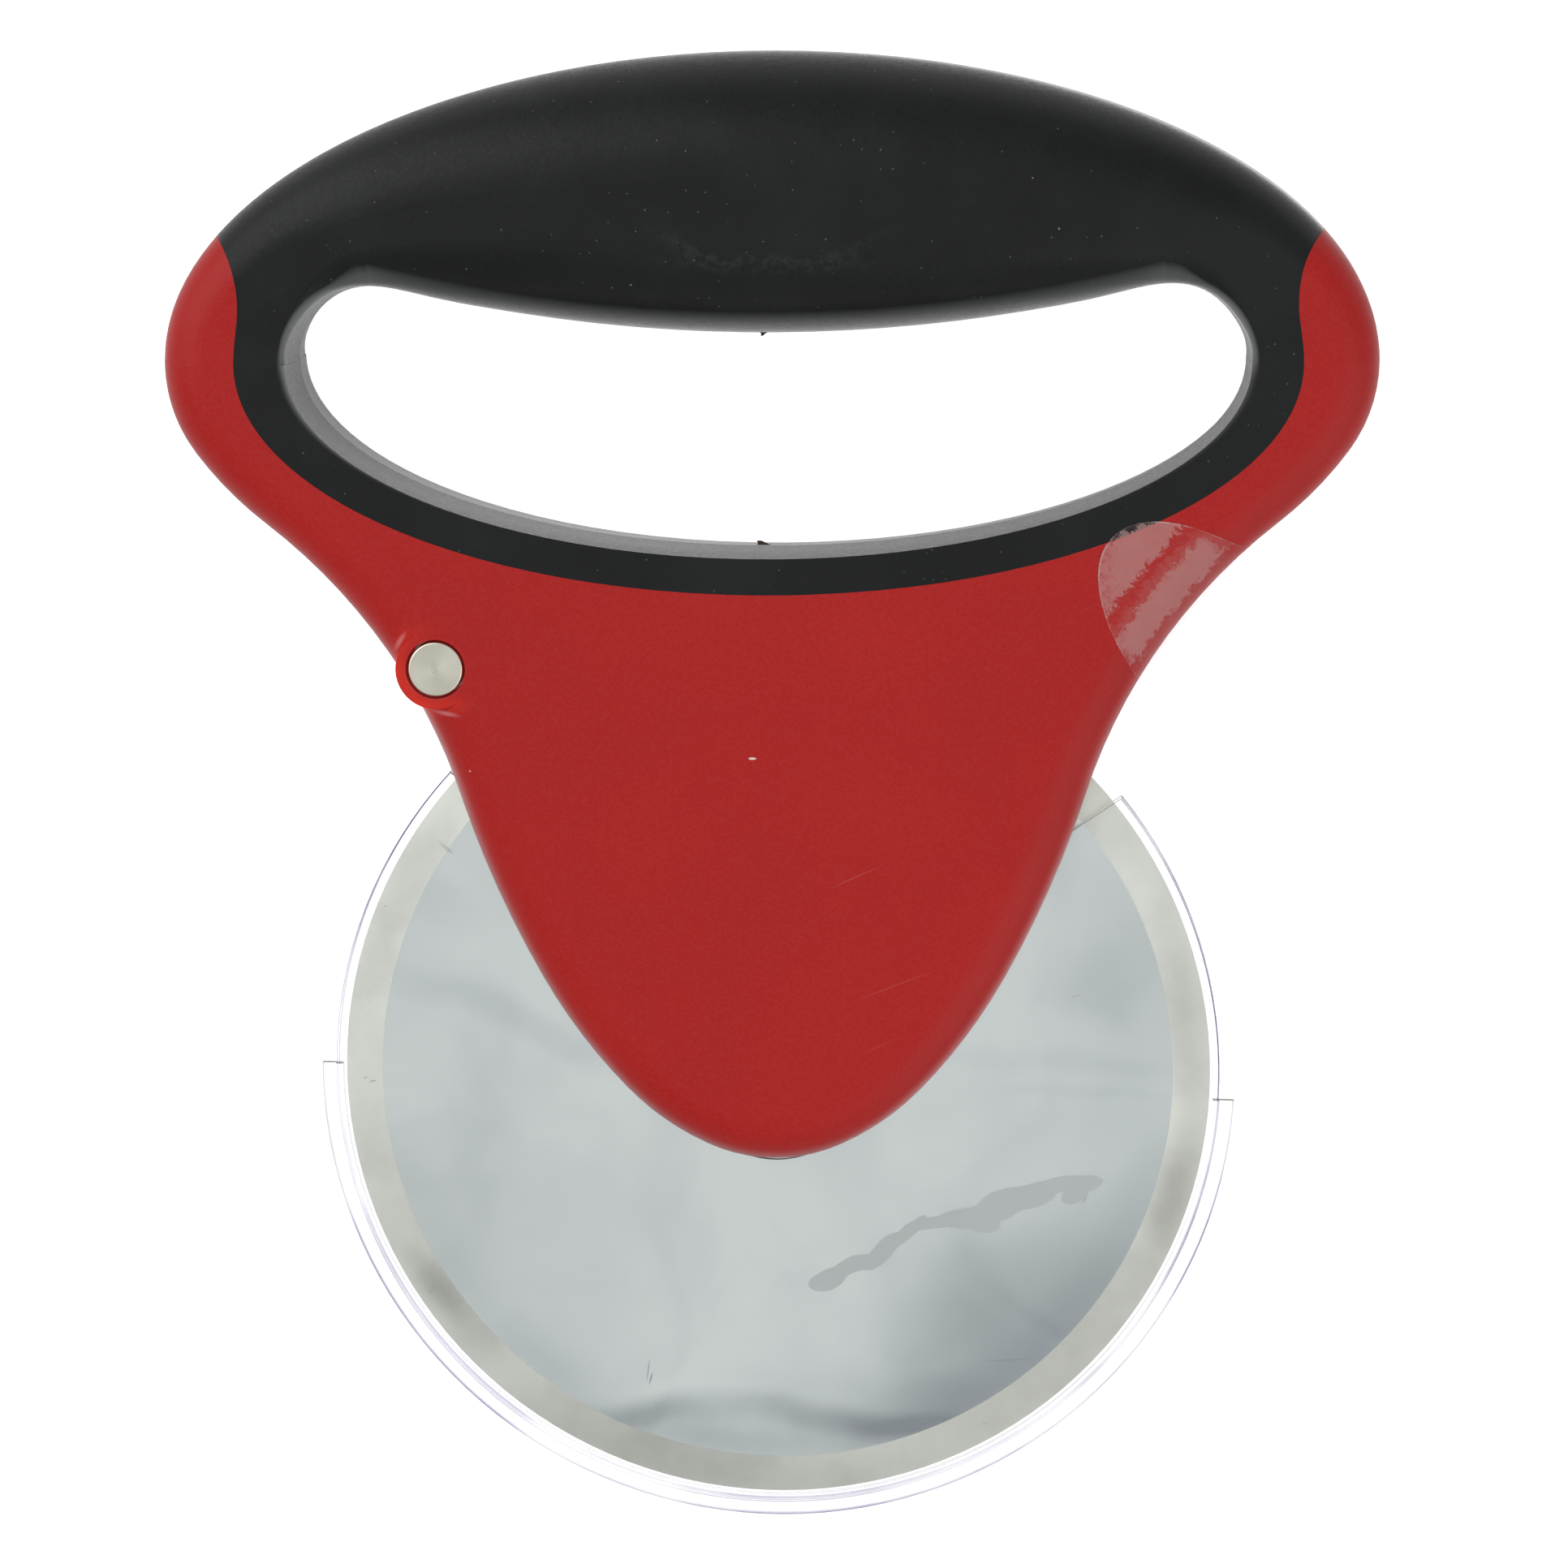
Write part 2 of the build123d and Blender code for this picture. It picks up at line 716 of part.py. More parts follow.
# One STEP file for each piece
os.makedirs("parts", exist_ok=True)
export_step(front_frame.part, "parts/front_frame.step")
export_step(rear_frame.part, "parts/rear_frame.step")
export_step(grip_overmold.part, "parts/grip_overmold.step")
export_step(rear_cover.part, "parts/rear_cover.step")
export_step(wheel_axle.part, "parts/wheel_axle.step")
export_step(pivot_sleeve.part, "parts/pivot_sleeve.step")
export_step(pivot_washer.part, "parts/pivot_washer.step")
export_step(pivot_screw.part, "parts/pivot_screw.step")
export_step(release_button.part, "parts/release_button.step")
export_step(lock_pin.part, "parts/lock_pin.step")
export_step(button_spring.part, "parts/button_spring.step")
export_step(cutting_wheel.part, "parts/cutting_wheel.step")
export_step(wheel_hub_front.part, "parts/wheel_hub_front.step")
export_step(wheel_hub_rear.part, "parts/wheel_hub_rear.step")
export_step(guard_front_shell.part, "parts/guard_front_shell.step")
export_step(guard_rear_shell.part, "parts/guard_rear_shell.step")
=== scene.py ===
"""Pizza cutter wheel with a loop grip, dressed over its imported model.

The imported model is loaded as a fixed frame. The classes below give its pieces their finishes,
add the small pieces that only show, and set the stage: floor, world, lamps and camera.
Everything is in metres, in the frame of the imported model.
"""

import bpy
import logging
import math
from dataclasses import dataclass
from enum import Enum
from typing import Any, Dict, Sequence, Tuple

from mathutils import Matrix, Vector


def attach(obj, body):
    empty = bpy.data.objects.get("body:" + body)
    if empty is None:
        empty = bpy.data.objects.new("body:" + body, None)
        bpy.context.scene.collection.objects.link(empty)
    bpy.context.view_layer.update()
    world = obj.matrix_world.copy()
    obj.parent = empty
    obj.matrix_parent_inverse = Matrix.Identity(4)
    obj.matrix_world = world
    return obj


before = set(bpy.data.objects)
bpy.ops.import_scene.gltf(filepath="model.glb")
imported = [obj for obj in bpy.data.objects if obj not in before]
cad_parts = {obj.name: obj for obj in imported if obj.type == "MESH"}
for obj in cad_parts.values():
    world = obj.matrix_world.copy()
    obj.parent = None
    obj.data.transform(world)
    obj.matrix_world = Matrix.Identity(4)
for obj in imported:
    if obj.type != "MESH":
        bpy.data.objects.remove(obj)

Colour = Tuple[float, float, float]
Spot = Tuple[float, float, float]
Pair = Tuple[float, float]
# Where a ramp starts and stops, and its values there if they aren't 0 and 1
Ramp = Tuple[float, ...]
# Scale in waves per metre, octaves, roughness and distortion of a noise
Waves = Tuple[float, ...]
# Cells per metre, size of a speck and share of the cells that hold one
Specks = Tuple[float, float, float]
# A soft oval: x, y, turn, half length, half width, softness and depth, in millimetres and degrees
Patch = Tuple[float, float, float, float, float, float, float]
Patches = Tuple[Patch, ...]
Node = bpy.types.Node
Socket = bpy.types.NodeSocket
Tree = bpy.types.NodeTree
Material = bpy.types.Material

LOG = logging.getLogger("pizza_cutter")
MM = 0.001
HUB = Vector((0.0, -0.0326, 0.0124))
PIVOT = Vector((-0.0385, 0.0159, 0.0124))
BLACK = (0.0, 0.0, 0.0)
WHITE = (1.0, 1.0, 1.0)


def srgb(red: int, green: int, blue: int) -> Colour:
    """Turn a display colour into a linear one.

    Args:
        red: Display red, 0 to 255.
        green: Display green, 0 to 255.
        blue: Display blue, 0 to 255.

    Returns:
        The linear colour.
    """
    def linear(value: int) -> float:
        """Return one linear channel."""
        share = value / 255.0
        return share / 12.92 if share <= 0.04045 else ((share + 0.055) / 1.055) ** 2.4

    return (linear(red), linear(green), linear(blue))


class Coverage(Enum):
    """Where a finish's pattern is read from."""

    OBJECT = "Object"
    SURFACE = "UV"


class Shader:
    """Short helper round one material's or group's node tree."""

    pitch: float = 40.0

    def __init__(self, tree: Tree) -> None:
        """Keep the tree."""
        self.tree = tree

    def add(self, kind: str, *values: Any, **properties: Any) -> Node:
        """Add one node.

        Args:
            kind: The node's class name.
            values: Values or sockets for its first inputs, in their order.
            properties: Its plain properties.

        Returns:
            The new node.
        """
        node = self.tree.nodes.new(kind)
        node.location = (self.pitch * len(self.tree.nodes), 0.0)
        for name, value in properties.items():
            setattr(node, name, value)
        for value, socket in zip(values, node.inputs):
            self.put(value, socket)
        return node

    def put(self, value: Any, socket: Socket) -> None:
        """Join a socket to an input, or set the input itself.

        Args:
            value: A socket, number, vector or colour.
            socket: The input.
        """
        if isinstance(value, bpy.types.NodeSocket):
            self.tree.links.new(value, socket)
        else:
            socket.default_value = (*value, 1.0) if socket.type == "RGBA" else value

    def fill(self, node: Node, **values: Any) -> Node:
        """Set or join a node's inputs by name, with underscores for spaces.

        Args:
            node: The node.
            values: Plain values, or sockets to join.

        Returns:
            The same node.
        """
        for name, value in values.items():
            self.put(value, node.inputs[name.replace("_", " ")])
        return node

    def math(self, operation: str, *values: Any, clamp: bool = False) -> Socket:
        """Return the result of a Math node, held from 0 to 1 where it clamps."""
        node = self.add("ShaderNodeMath", *values, operation=operation, use_clamp=clamp)
        return node.outputs[0]

    def times(self, first: Any, second: Any) -> Socket:
        """Multiply two values."""
        return self.math("MULTIPLY", first, second)

    def plus(self, first: Any, second: Any, clamp: bool = False) -> Socket:
        """Add two values."""
        return self.math("ADD", first, second, clamp=clamp)

    def minus(self, first: Any, second: Any, clamp: bool = False) -> Socket:
        """Take the second value from the first."""
        return self.math("SUBTRACT", first, second, clamp=clamp)

    def blend(self, first: Any, share: Any, second: Any, clamp: bool = False) -> Socket:
        """Multiply the first value by a share and add the second."""
        return self.math("MULTIPLY_ADD", first, share, second, clamp=clamp)

    def least(self, first: Any, second: Any) -> Socket:
        """Return the smaller value."""
        return self.math("MINIMUM", first, second)

    def most(self, first: Any, second: Any) -> Socket:
        """Return the larger value."""
        return self.math("MAXIMUM", first, second)

    def apart(self, first: Any, second: Any) -> Socket:
        """Return how far two values are apart."""
        return self.math("ABSOLUTE", self.minus(first, second))

    def hypot(self, first: Socket, second: Socket) -> Socket:
        """Return the length of two square distances."""
        return self.math("SQRT", self.blend(first, first, self.times(second, second)))

    def vector(self, operation: str, *values: Any) -> Socket:
        """Return the vector that a Vector Math node puts out."""
        return self.add("ShaderNodeVectorMath", *values, operation=operation).outputs[0]

    def length(self, vector: Socket) -> Socket:
        """Return a vector's length."""
        return self.add("ShaderNodeVectorMath", vector, operation="LENGTH").outputs["Value"]

    def unturn(self, vector: Socket, angle: Any) -> Socket:
        """Turn a vector back by an angle about Z."""
        node = self.add("ShaderNodeVectorRotate", rotation_type="Z_AXIS", invert=True)
        return self.fill(node, Vector=vector, Angle=angle).outputs[0]

    def axes(self, vector: Socket) -> Tuple[Socket, ...]:
        """Return a vector's three parts."""
        return tuple(self.add("ShaderNodeSeparateXYZ", vector).outputs)

    def join(self, *values: Any) -> Socket:
        """Make a vector of up to three parts."""
        return self.add("ShaderNodeCombineXYZ", *values).outputs[0]

    def noise(
        self,
        vector: Socket,
        scale: Any,
        detail: float = 2.0,
        rough: float = 0.5,
        distort: float = 0.0,
        output: int = 0,
    ) -> Socket:
        """Add a Noise Texture node.

        Args:
            vector: The coordinates' socket.
            scale: Waves per metre.
            detail: Octaves.
            rough: Share that each finer octave keeps.
            distort: Distortion.
            output: 0 for the value, 1 for the colour.

        Returns:
            The output's socket.
        """
        node = self.add("ShaderNodeTexNoise")
        self.fill(node, Vector=vector, Scale=scale, Detail=detail)
        return self.fill(node, Roughness=rough, Distortion=distort).outputs[output]

    def remap(
        self, value: Socket, low: Any, high: Any, start: float = 0.0, stop: float = 1.0
    ) -> Socket:
        """Map a range smoothly to the values from start to stop, held at its ends."""
        ends = (value, low, high, start, stop)
        return self.add("ShaderNodeMapRange", *ends, interpolation_type="SMOOTHSTEP").outputs[0]

    def mix(self, share: Any, first: Any, second: Any) -> Socket:
        """Mix two colours.

        Args:
            share: Share of the second colour.
            first: First colour or socket.
            second: Second colour or socket.

        Returns:
            The colour's socket.
        """
        node = self.add("ShaderNodeMix", data_type="RGBA")
        for value, index in ((share, 0), (first, 6), (second, 7)):
            self.put(value, node.inputs[index])
        return node.outputs[2]

    def bump(self, height: Socket, depth: float, strength: float) -> Socket:
        """Return the normal of a relief of a depth in metres, and the share of it that shows."""
        node = self.add("ShaderNodeBump")
        return self.fill(node, Strength=strength, Distance=depth, Height=height).outputs[0]

    def place(self, coverage: Coverage = Coverage.OBJECT) -> Socket:
        """Return a pattern's coordinates."""
        return self.add("ShaderNodeTexCoord").outputs[coverage.value]

    def from_centre(self, centre: Vector) -> Tuple[Socket, Socket]:
        """Return coordinates from an upright axis, and the distance to it.

        Args:
            centre: A point of the axis.

        Returns:
            The coordinates' socket and the distance's socket.
        """
        move = self.add("ShaderNodeMapping", vector_type="POINT")
        self.fill(move, Vector=self.place(), Location=(-centre.x, -centre.y, 0.0))
        flat = self.vector("MULTIPLY", move.outputs[0], (1.0, 1.0, 0.0))
        return move.outputs[0], self.length(flat)

    def facing(self) -> Socket:
        """Return how steeply the surface is seen, 0 to 1."""
        return self.add("ShaderNodeLayerWeight").outputs["Facing"]

    def light_path(self) -> Any:
        """Return the outputs of a Light Path node."""
        return self.add("ShaderNodeLightPath").outputs

    def group(self, name: str, vector: Socket, **values: float) -> Any:
        """Return the outputs of a shared group with its own values."""
        node = self.add("ShaderNodeGroup", node_tree=bpy.data.node_groups[name])
        return self.fill(node, Vector=vector, **values).outputs

    def grain(self, vector: Socket, scale: float, mottle: float) -> Tuple[Socket, Socket]:
        """Return the moulded grain's height and its mottle."""
        outputs = self.group("moulded_grain", vector, Scale=scale, Mottle_Scale=mottle)
        return outputs["Height"], outputs["Mottle"]

    def dust(self, vector: Socket, scale: float, size: float, amount: float) -> Socket:
        """Return the mask of sparse specks of dust."""
        return self.group("dust_specks", vector, Scale=scale, Size=size, Amount=amount)[0]

    def patches(self, vector: Socket, rows: Patches) -> Socket:
        """Add up soft patches.

        Args:
            vector: The coordinates' socket.
            rows: The patches.

        Returns:
            The sum's socket.
        """
        total = 0.0
        for x, y, turn, length, width, soft, depth in rows:
            sizes = {"X": x * MM, "Y": y * MM, "Length": length * MM, "Width": width * MM}
            spot = self.group("oval_patch", vector, Turn=math.radians(turn), Soft=soft, **sizes)
            total = self.plus(total, self.times(spot[0], depth))
        return total


class SharedEffects:
    """Node groups that several finishes use."""

    def build(self) -> None:
        """Build each group once."""
        self._moulded_grain()
        self._dust_specks()
        self._oval_patch()
        LOG.info("built %s shared effects", len(bpy.data.node_groups))

    @staticmethod
    def _group(
        name: str, inputs: Dict[str, float], outputs: Sequence[str]
    ) -> Tuple[Shader, Any, Any]:
        """Start a group with a Vector input, float inputs and float outputs.

        Args:
            name: The group's name.
            inputs: Names and defaults of the float inputs.
            outputs: Names of the outputs.

        Returns:
            The group's helper, its inputs' sockets and its outputs' sockets.
        """
        tree = bpy.data.node_groups.new(name, "ShaderNodeTree")
        new_socket = tree.interface.new_socket
        new_socket("Vector", in_out="INPUT", socket_type="NodeSocketVector")
        for label, default in inputs.items():
            socket = new_socket(label, in_out="INPUT", socket_type="NodeSocketFloat")
            socket.default_value = default
        for label in outputs:
            new_socket(label, in_out="OUTPUT", socket_type="NodeSocketFloat")
        build = Shader(tree)
        source = build.add("NodeGroupInput").outputs
        return build, source, build.add("NodeGroupOutput").inputs

    def _moulded_grain(self) -> None:
        """Build the fine spark-eroded grain of moulded plastic, with a soft large mottle."""
        sizes = {"Scale": 2600.0, "Mottle Scale": 40.0}
        build, source, target = self._group("moulded_grain", sizes, ("Height", "Mottle"))
        cell_share, cell_depth = 0.7, 0.45
        fine = build.noise(source["Vector"], source["Scale"], 3.0, 0.62)
        cells = build.add("ShaderNodeTexVoronoi", feature="F1")
        cell_scale = build.times(source["Scale"], cell_share)
        build.fill(cells, Vector=source["Vector"], Scale=cell_scale)
        build.put(build.blend(cells.outputs["Distance"], cell_depth, fine), target["Height"])
        wide = build.noise(source["Vector"], source["Mottle Scale"], 4.0, 0.6)
        build.put(wide, target["Mottle"])

    def _dust_specks(self) -> None:
        """Build the mask of sparse specks of dust."""
        sizes = {"Scale": 420.0, "Size": 0.06, "Amount": 0.1}
        build, source, target = self._group("dust_specks", sizes, ("Mask",))
        least_share = 0.35
        cells = build.add("ShaderNodeTexVoronoi", feature="F1")
        build.fill(cells, Vector=source["Vector"], Scale=source["Scale"], Randomness=1.0)
        pick = build.add("ShaderNodeSeparateColor", cells.outputs["Color"])
        few = build.math("LESS_THAN", pick.outputs[0], source["Amount"])
        size = build.times(source["Size"], build.plus(pick.outputs[1], least_share))
        near = build.math("LESS_THAN", cells.outputs["Distance"], size)
        build.put(build.times(few, near), target["Mask"])

    def _oval_patch(self) -> None:
        """Build the mask of one soft oval patch on a face that is square to Z."""
        sizes = {"X": 0.0, "Y": 0.0, "Turn": 0.0, "Length": 0.01, "Width": 0.01, "Soft": 0.3}
        build, source, target = self._group("oval_patch", sizes, ("Mask",))
        centre = build.join(source["X"], source["Y"])
        turned = build.unturn(build.vector("SUBTRACT", source["Vector"], centre), source["Turn"])
        x, y, _ = build.axes(turned)
        along = build.math("DIVIDE", x, source["Length"])
        across = build.math("DIVIDE", y, source["Width"])
        low = build.minus(1.0, source["Soft"])
        high = build.plus(1.0, source["Soft"])
        build.put(build.remap(build.hypot(along, across), low, high, 1.0, 0.0), target["Mask"])


class Finish:
    """Base of every finish: one material on one Principled shader."""

    name: str

    def start(self) -> Tuple[Material, Shader, Node]:
        """Make the material and its Principled shader.

        Returns:
            The material, its node helper and the shader.
        """
        material = bpy.data.materials.new(self.name)
        material.use_nodes = True
        principled = material.node_tree.nodes["Principled BSDF"]
        return material, Shader(material.node_tree), principled


@dataclass(frozen=True)
class RedShell(Finish):
    """Red moulded plastic with a fine matte grain."""

    name: str = "red_shell"
    colour: Colour = (0.372, 0.0118, 0.0108)
    deep: Colour = (0.348, 0.0106, 0.0098)
    mark: Colour = srgb(214, 196, 180)
    ior: float = 1.25
    grain: Pair = (3200.0, 30.0)
    relief: Pair = (0.00002, 0.5)
    rough: Ramp = (0.3, 0.9, 0.29, 0.42)
    mottle: Ramp = (0.35, 0.65)
    pale_grain: Ramp = (0.5, 1.0, 0.0, 0.012)
    dust: Specks = (230.0, 0.03, 0.03)
    dust_cover: float = 0.35
    # Painted light: the thin lip of the boss round the button is painted a brighter orange-red,
    # as if lit through from behind: from the button's centre
    painted_backlight_colour: Colour = (0.56, 0.026, 0.014)
    painted_backlight_patches: Patches = (
        (-3.4, -2.4, 125.0, 3.6, 1.5, 0.8, 0.8),
        (-0.2, -4.4, 8.0, 3.2, 1.0, 0.8, 0.6),
        (-4.2, 1.6, 76.0, 2.6, 0.9, 0.8, 0.5),
        (-2.6, 3.8, 30.0, 2.2, 0.9, 0.8, 0.25),
    )
    # Painted highlights: pale glints on the side of the boss
    painted_glint_colour: Colour = (0.74, 0.36, 0.38)
    painted_glint_patches: Patches = (
        (-4.15, 3.15, 57.0, 1.0, 0.24, 0.9, 0.36),
        (1.0, -5.15, -8.0, 1.2, 0.22, 0.9, 0.36),
    )
    # Painted light: the shadowed gap round the button glows dark red by emission, by the distance
    # to its axis
    glow: Colour = (0.1, 0.004, 0.0035)
    painted_gap_glow_ramp: Ramp = (0.0034, 0.0037, 1.0, 0.0)
    # Painted sheen: the lower shield's rounded edge is painted paler where it is seen steeply;
    # by steepness, and its share along Y and X
    painted_edge_sheen: Colour = (0.55, 0.36, 0.36)
    painted_edge_sheen_steep: Ramp = (0.38, 0.85)
    painted_edge_sheen_along_y: Ramp = (0.004, 0.026, 0.42, 0.0)
    painted_edge_sheen_along_x: Ramp = (-0.01, 0.02, 1.0, 0.45)
    # Pale marks on the face over this height, from the hub
    marks_height: float = 0.0205
    marks: Patches = (
        (-1.9, 38.2, 0.0, 0.42, 0.14, 0.3, 1.0),
        (9.7, 24.3, 24.0, 2.5, 0.04, 0.6, 0.11),
        (14.4, 11.7, 21.0, 4.2, 0.04, 0.6, 0.08),
        (12.6, 4.6, 24.0, 2.0, 0.04, 0.6, 0.05),
    )

    def build(self) -> Material:
        """Return the material."""
        material, shader, principled = self.start()
        place = shader.place()
        grain, mottle = shader.grain(place, *self.grain)
        tone = shader.mix(shader.remap(mottle, *self.mottle), self.deep, self.colour)
        tone = shader.mix(shader.remap(grain, *self.pale_grain), tone, self.mark)
        boss, off_pivot = shader.from_centre(PIVOT)
        # Painted light on the boss's thin lip
        tone = shader.mix(shader.patches(boss, self.painted_backlight_patches), tone, self.painted_backlight_colour)
        # Painted highlights on the side of the boss
        tone = shader.mix(shader.patches(boss, self.painted_glint_patches), tone, self.painted_glint_colour)
        # Painted light in the gap round the button
        glow = shader.mix(shader.remap(off_pivot, *self.painted_gap_glow_ramp), BLACK, self.glow)
        x, y, z = shader.axes(place)
        centred, _ = shader.from_centre(HUB)
        front = shader.math("GREATER_THAN", z, self.marks_height)
        marks = shader.times(shader.patches(centred, self.marks), front)
        shown = shader.blend(shader.dust(place, *self.dust), self.dust_cover, marks)
        tone = shader.mix(shader.least(shown, 1.0), tone, self.mark)
        # Painted sheen on the lower shield's rounded edge
        share = shader.times(
            shader.remap(y, *self.painted_edge_sheen_along_y), shader.remap(x, *self.painted_edge_sheen_along_x)
        )
        steep = shader.remap(shader.facing(), *self.painted_edge_sheen_steep)
        tone = shader.mix(shader.times(steep, share), tone, self.painted_edge_sheen)
        rough = shader.remap(grain, *self.rough)
        shader.fill(principled, Base_Color=tone, Roughness=rough, IOR=self.ior)
        shader.fill(principled, Emission_Color=glow, Emission_Strength=1.0)
        shader.fill(principled, Normal=shader.bump(grain, *self.relief))
        return material


@dataclass(frozen=True)
class SoftGrip(Finish):
    """Black soft moulded skin with a dusty matte surface."""

    name: str = "soft_grip"
    colour: Colour = (0.0060, 0.0066, 0.0068)
    worn: Colour = (0.0092, 0.0100, 0.0102)
    dust_colour: Colour = srgb(150, 152, 150)
    # Grey of the painted sheen round the finger hole; the paler place low on the grip uses it too
    painted_sheen_grey: Colour = (0.17, 0.174, 0.176)
    seam_colour: Colour = srgb(8, 9, 9)
    ior: float = 1.28
    sheen: Pair = (0.6, 0.25)
    grain: Pair = (2400.0, 60.0)
    relief: Pair = (0.00003, 0.6)
    rough: Ramp = (0.3, 0.9, 0.25, 0.42)
    mottle: Ramp = (0.4, 0.7)
    dust: Specks = (330.0, 0.032, 0.2)
    fine_dust: Specks = (900.0, 0.08, 0.5)
    fine_share: float = 0.4
    dust_cover: float = 0.5
    # The skin's parting line: its height, its ramp, how much it covers and its depth in grains
    part_line: float = HUB.z - 1.85 * MM
    seam: Ramp = (0.00006, 0.00016, 1.0, 0.0)
    seam_cover: float = 0.7
    seam_depth: float = 2.0
    # The finger hole from the hub's centre: middle height, half width and drop, its two upper
    # rounds, and the centre and radius of the grip's underside
    hole_rise: float = 0.0836
    hole_half: Pair = (0.0547, 0.0217)
    round_x: float = 0.0461
    round_radius: float = 0.0086
    underside: Pair = (0.27055, 0.18395)
    # The painted sheen's start and width past the rounds' centres, where it changes side, and the
    # thinner painted sheen of the hole's lower half
    beside_round: Ramp = (-0.0006, 0.0004, 0.0, 0.02)
    upper: Ramp = (-0.002, 0.002)
    painted_sheen_start: Ramp = (0.001, 0.0045, 0.0, 0.0008)
    painted_sheen_stop: Ramp = (0.0, 0.0045, 0.003, 0.0015)
    lower_ring: Ramp = (1.008, 1.032, 1.0, 0.0)
    lower_share: Ramp = (-0.03, 0.03, 0.8, 0.35)
    # A paler cloudy place low on the front of the grip
    pale_cover: float = 0.12
    pale_waves: Waves = (900.0, 3.0, 0.7)
    pale_cloud: Ramp = (0.4, 0.62)
    pale_patches: Patches = (
        (1.0, 95.4, 0.0, 9.5, 0.9, 0.9, 0.5),
        (-8.0, 96.8, -28.0, 4.0, 0.8, 0.9, 0.4),
        (9.5, 96.5, 24.0, 4.0, 0.8, 0.9, 0.3),
    )

    def build(self) -> Material:
        """Return the material."""
        material, shader, principled = self.start()
        place = shader.place()
        grain, mottle = shader.grain(place, *self.grain)
        tone = shader.mix(shader.remap(mottle, *self.mottle), self.colour, self.worn)
        centred, _ = shader.from_centre(HUB)
        # Painted sheen round the finger hole
        tone = shader.mix(self._painted_sheen_share(shader, centred), tone, self.painted_sheen_grey)
        cloud = shader.remap(shader.noise(centred, *self.pale_waves), *self.pale_cloud)
        pale_patches = shader.times(shader.patches(centred, self.pale_patches), cloud)
        tone = shader.mix(shader.times(pale_patches, self.pale_cover), tone, self.painted_sheen_grey)
        fine_dust = shader.times(shader.dust(place, *self.fine_dust), self.fine_share)
        specks = shader.most(shader.dust(place, *self.dust), fine_dust)
        tone = shader.mix(shader.times(specks, self.dust_cover), tone, self.dust_colour)
        _, _, z = shader.axes(place)
        seam = shader.remap(shader.apart(z, self.part_line), *self.seam)
        tone = shader.mix(shader.times(seam, self.seam_cover), tone, self.seam_colour)
        height = shader.minus(grain, shader.times(seam, self.seam_depth))
        rough = shader.remap(grain, *self.rough)
        shader.fill(principled, Base_Color=tone, Roughness=rough, IOR=self.ior)
        shader.fill(principled, Sheen_Weight=self.sheen[0], Sheen_Roughness=self.sheen[1])
        shader.fill(principled, Normal=shader.bump(height, *self.relief))
        return material

    def _painted_sheen_share(self, shader: Shader, place: Socket) -> Socket:
        """Return the share of the painted sheen, a pale grey, round the finger hole.

        Args:
            shader: The material's node helper.
            place: Coordinates from the hub's centre.

        Returns:
            A socket that is 1 at the grip's underside and fades away from the hole.
        """
        x, y, _ = shader.axes(place)
        side = shader.math("ABSOLUTE", x)
        rise = shader.minus(y, self.hole_rise)
        off_round = shader.minus(side, self.round_x)
        round_gap = shader.minus(shader.hypot(off_round, rise), self.round_radius)
        centre, radius = self.underside
        off_arc = shader.hypot(side, shader.minus(y, centre))
        beside = shader.remap(off_round, *self.beside_round)
        gap = shader.least(round_gap, shader.plus(shader.minus(radius, off_arc), beside))
        upper = shader.remap(rise, *self.upper)
        start = shader.remap(off_round, *self.painted_sheen_start)
        stop = shader.remap(off_round, *self.painted_sheen_stop)
        fade = shader.math("DIVIDE", shader.minus(stop, gap), shader.minus(stop, start))
        wide = shader.times(shader.most(shader.least(fade, 1.0), 0.0), upper)
        share_x = shader.math("DIVIDE", side, self.hole_half[0])
        share_y = shader.math("DIVIDE", rise, self.hole_half[1])
        ring = shader.remap(shader.hypot(share_x, share_y), *self.lower_ring)
        low = shader.times(ring, ring)
        low = shader.times(low, shader.remap(x, *self.lower_share))
        low = shader.times(low, shader.minus(1.0, upper))
        return shader.plus(wide, low, clamp=True)


@dataclass(frozen=True)
class TurnedSteel(Finish):
    """Turned stainless steel with rings round one axis."""

    centre: Vector
    name: str = "turned_steel"
    colour: Colour = srgb(222, 221, 206)
    dark: Colour = srgb(194, 193, 178)
    rough: Ramp = (0.3, 0.7, 0.26, 0.36)
    relief: Pair = (0.000005, 0.5)
    # Turning rings: their pitch, their uneven strength and its shares of the tone and the relief
    ring_pitch: float = 0.00016
    rings: Waves = (9000.0, 3.0, 0.7)
    ring_tone: float = 0.35
    wave_height: float = 0.15
    # The bow tie of light across the rings: its turn in radians and its strength
    bow: Pair = (-0.6, 0.22)
    cloud: Waves = (420.0, 2.0, 0.5)
    cloud_tone: float = 0.65
    pit: Ramp = (0.00008, 0.00022, 0.6, 0.0)

    def build(self) -> Material:
        """Return the material."""
        material, shader, principled = self.start()
        place, radius = shader.from_centre(self.centre)
        wave = shader.math("SINE", shader.times(radius, 2.0 * math.pi / self.ring_pitch))
        rings = shader.noise(shader.join(radius), *self.rings)
        turn = shader.add("ShaderNodeTexGradient", place, gradient_type="RADIAL")
        bow_turn, bow_tone = self.bow
        angle = shader.blend(turn.outputs["Fac"], 4.0 * math.pi, bow_turn)
        bow = shader.times(shader.math("COSINE", angle), bow_tone)
        cloud = shader.times(shader.noise(place, *self.cloud), self.cloud_tone)
        share = shader.plus(shader.blend(rings, self.ring_tone, bow), cloud)
        share = shader.minus(share, shader.remap(radius, *self.pit), clamp=True)
        tone = shader.mix(share, self.dark, self.colour)
        rough = shader.remap(rings, *self.rough)
        shader.fill(principled, Base_Color=tone, Metallic=1.0, Roughness=rough)
        height = shader.blend(wave, self.wave_height, rings)
        shader.fill(principled, Normal=shader.bump(height, *self.relief))
        return material


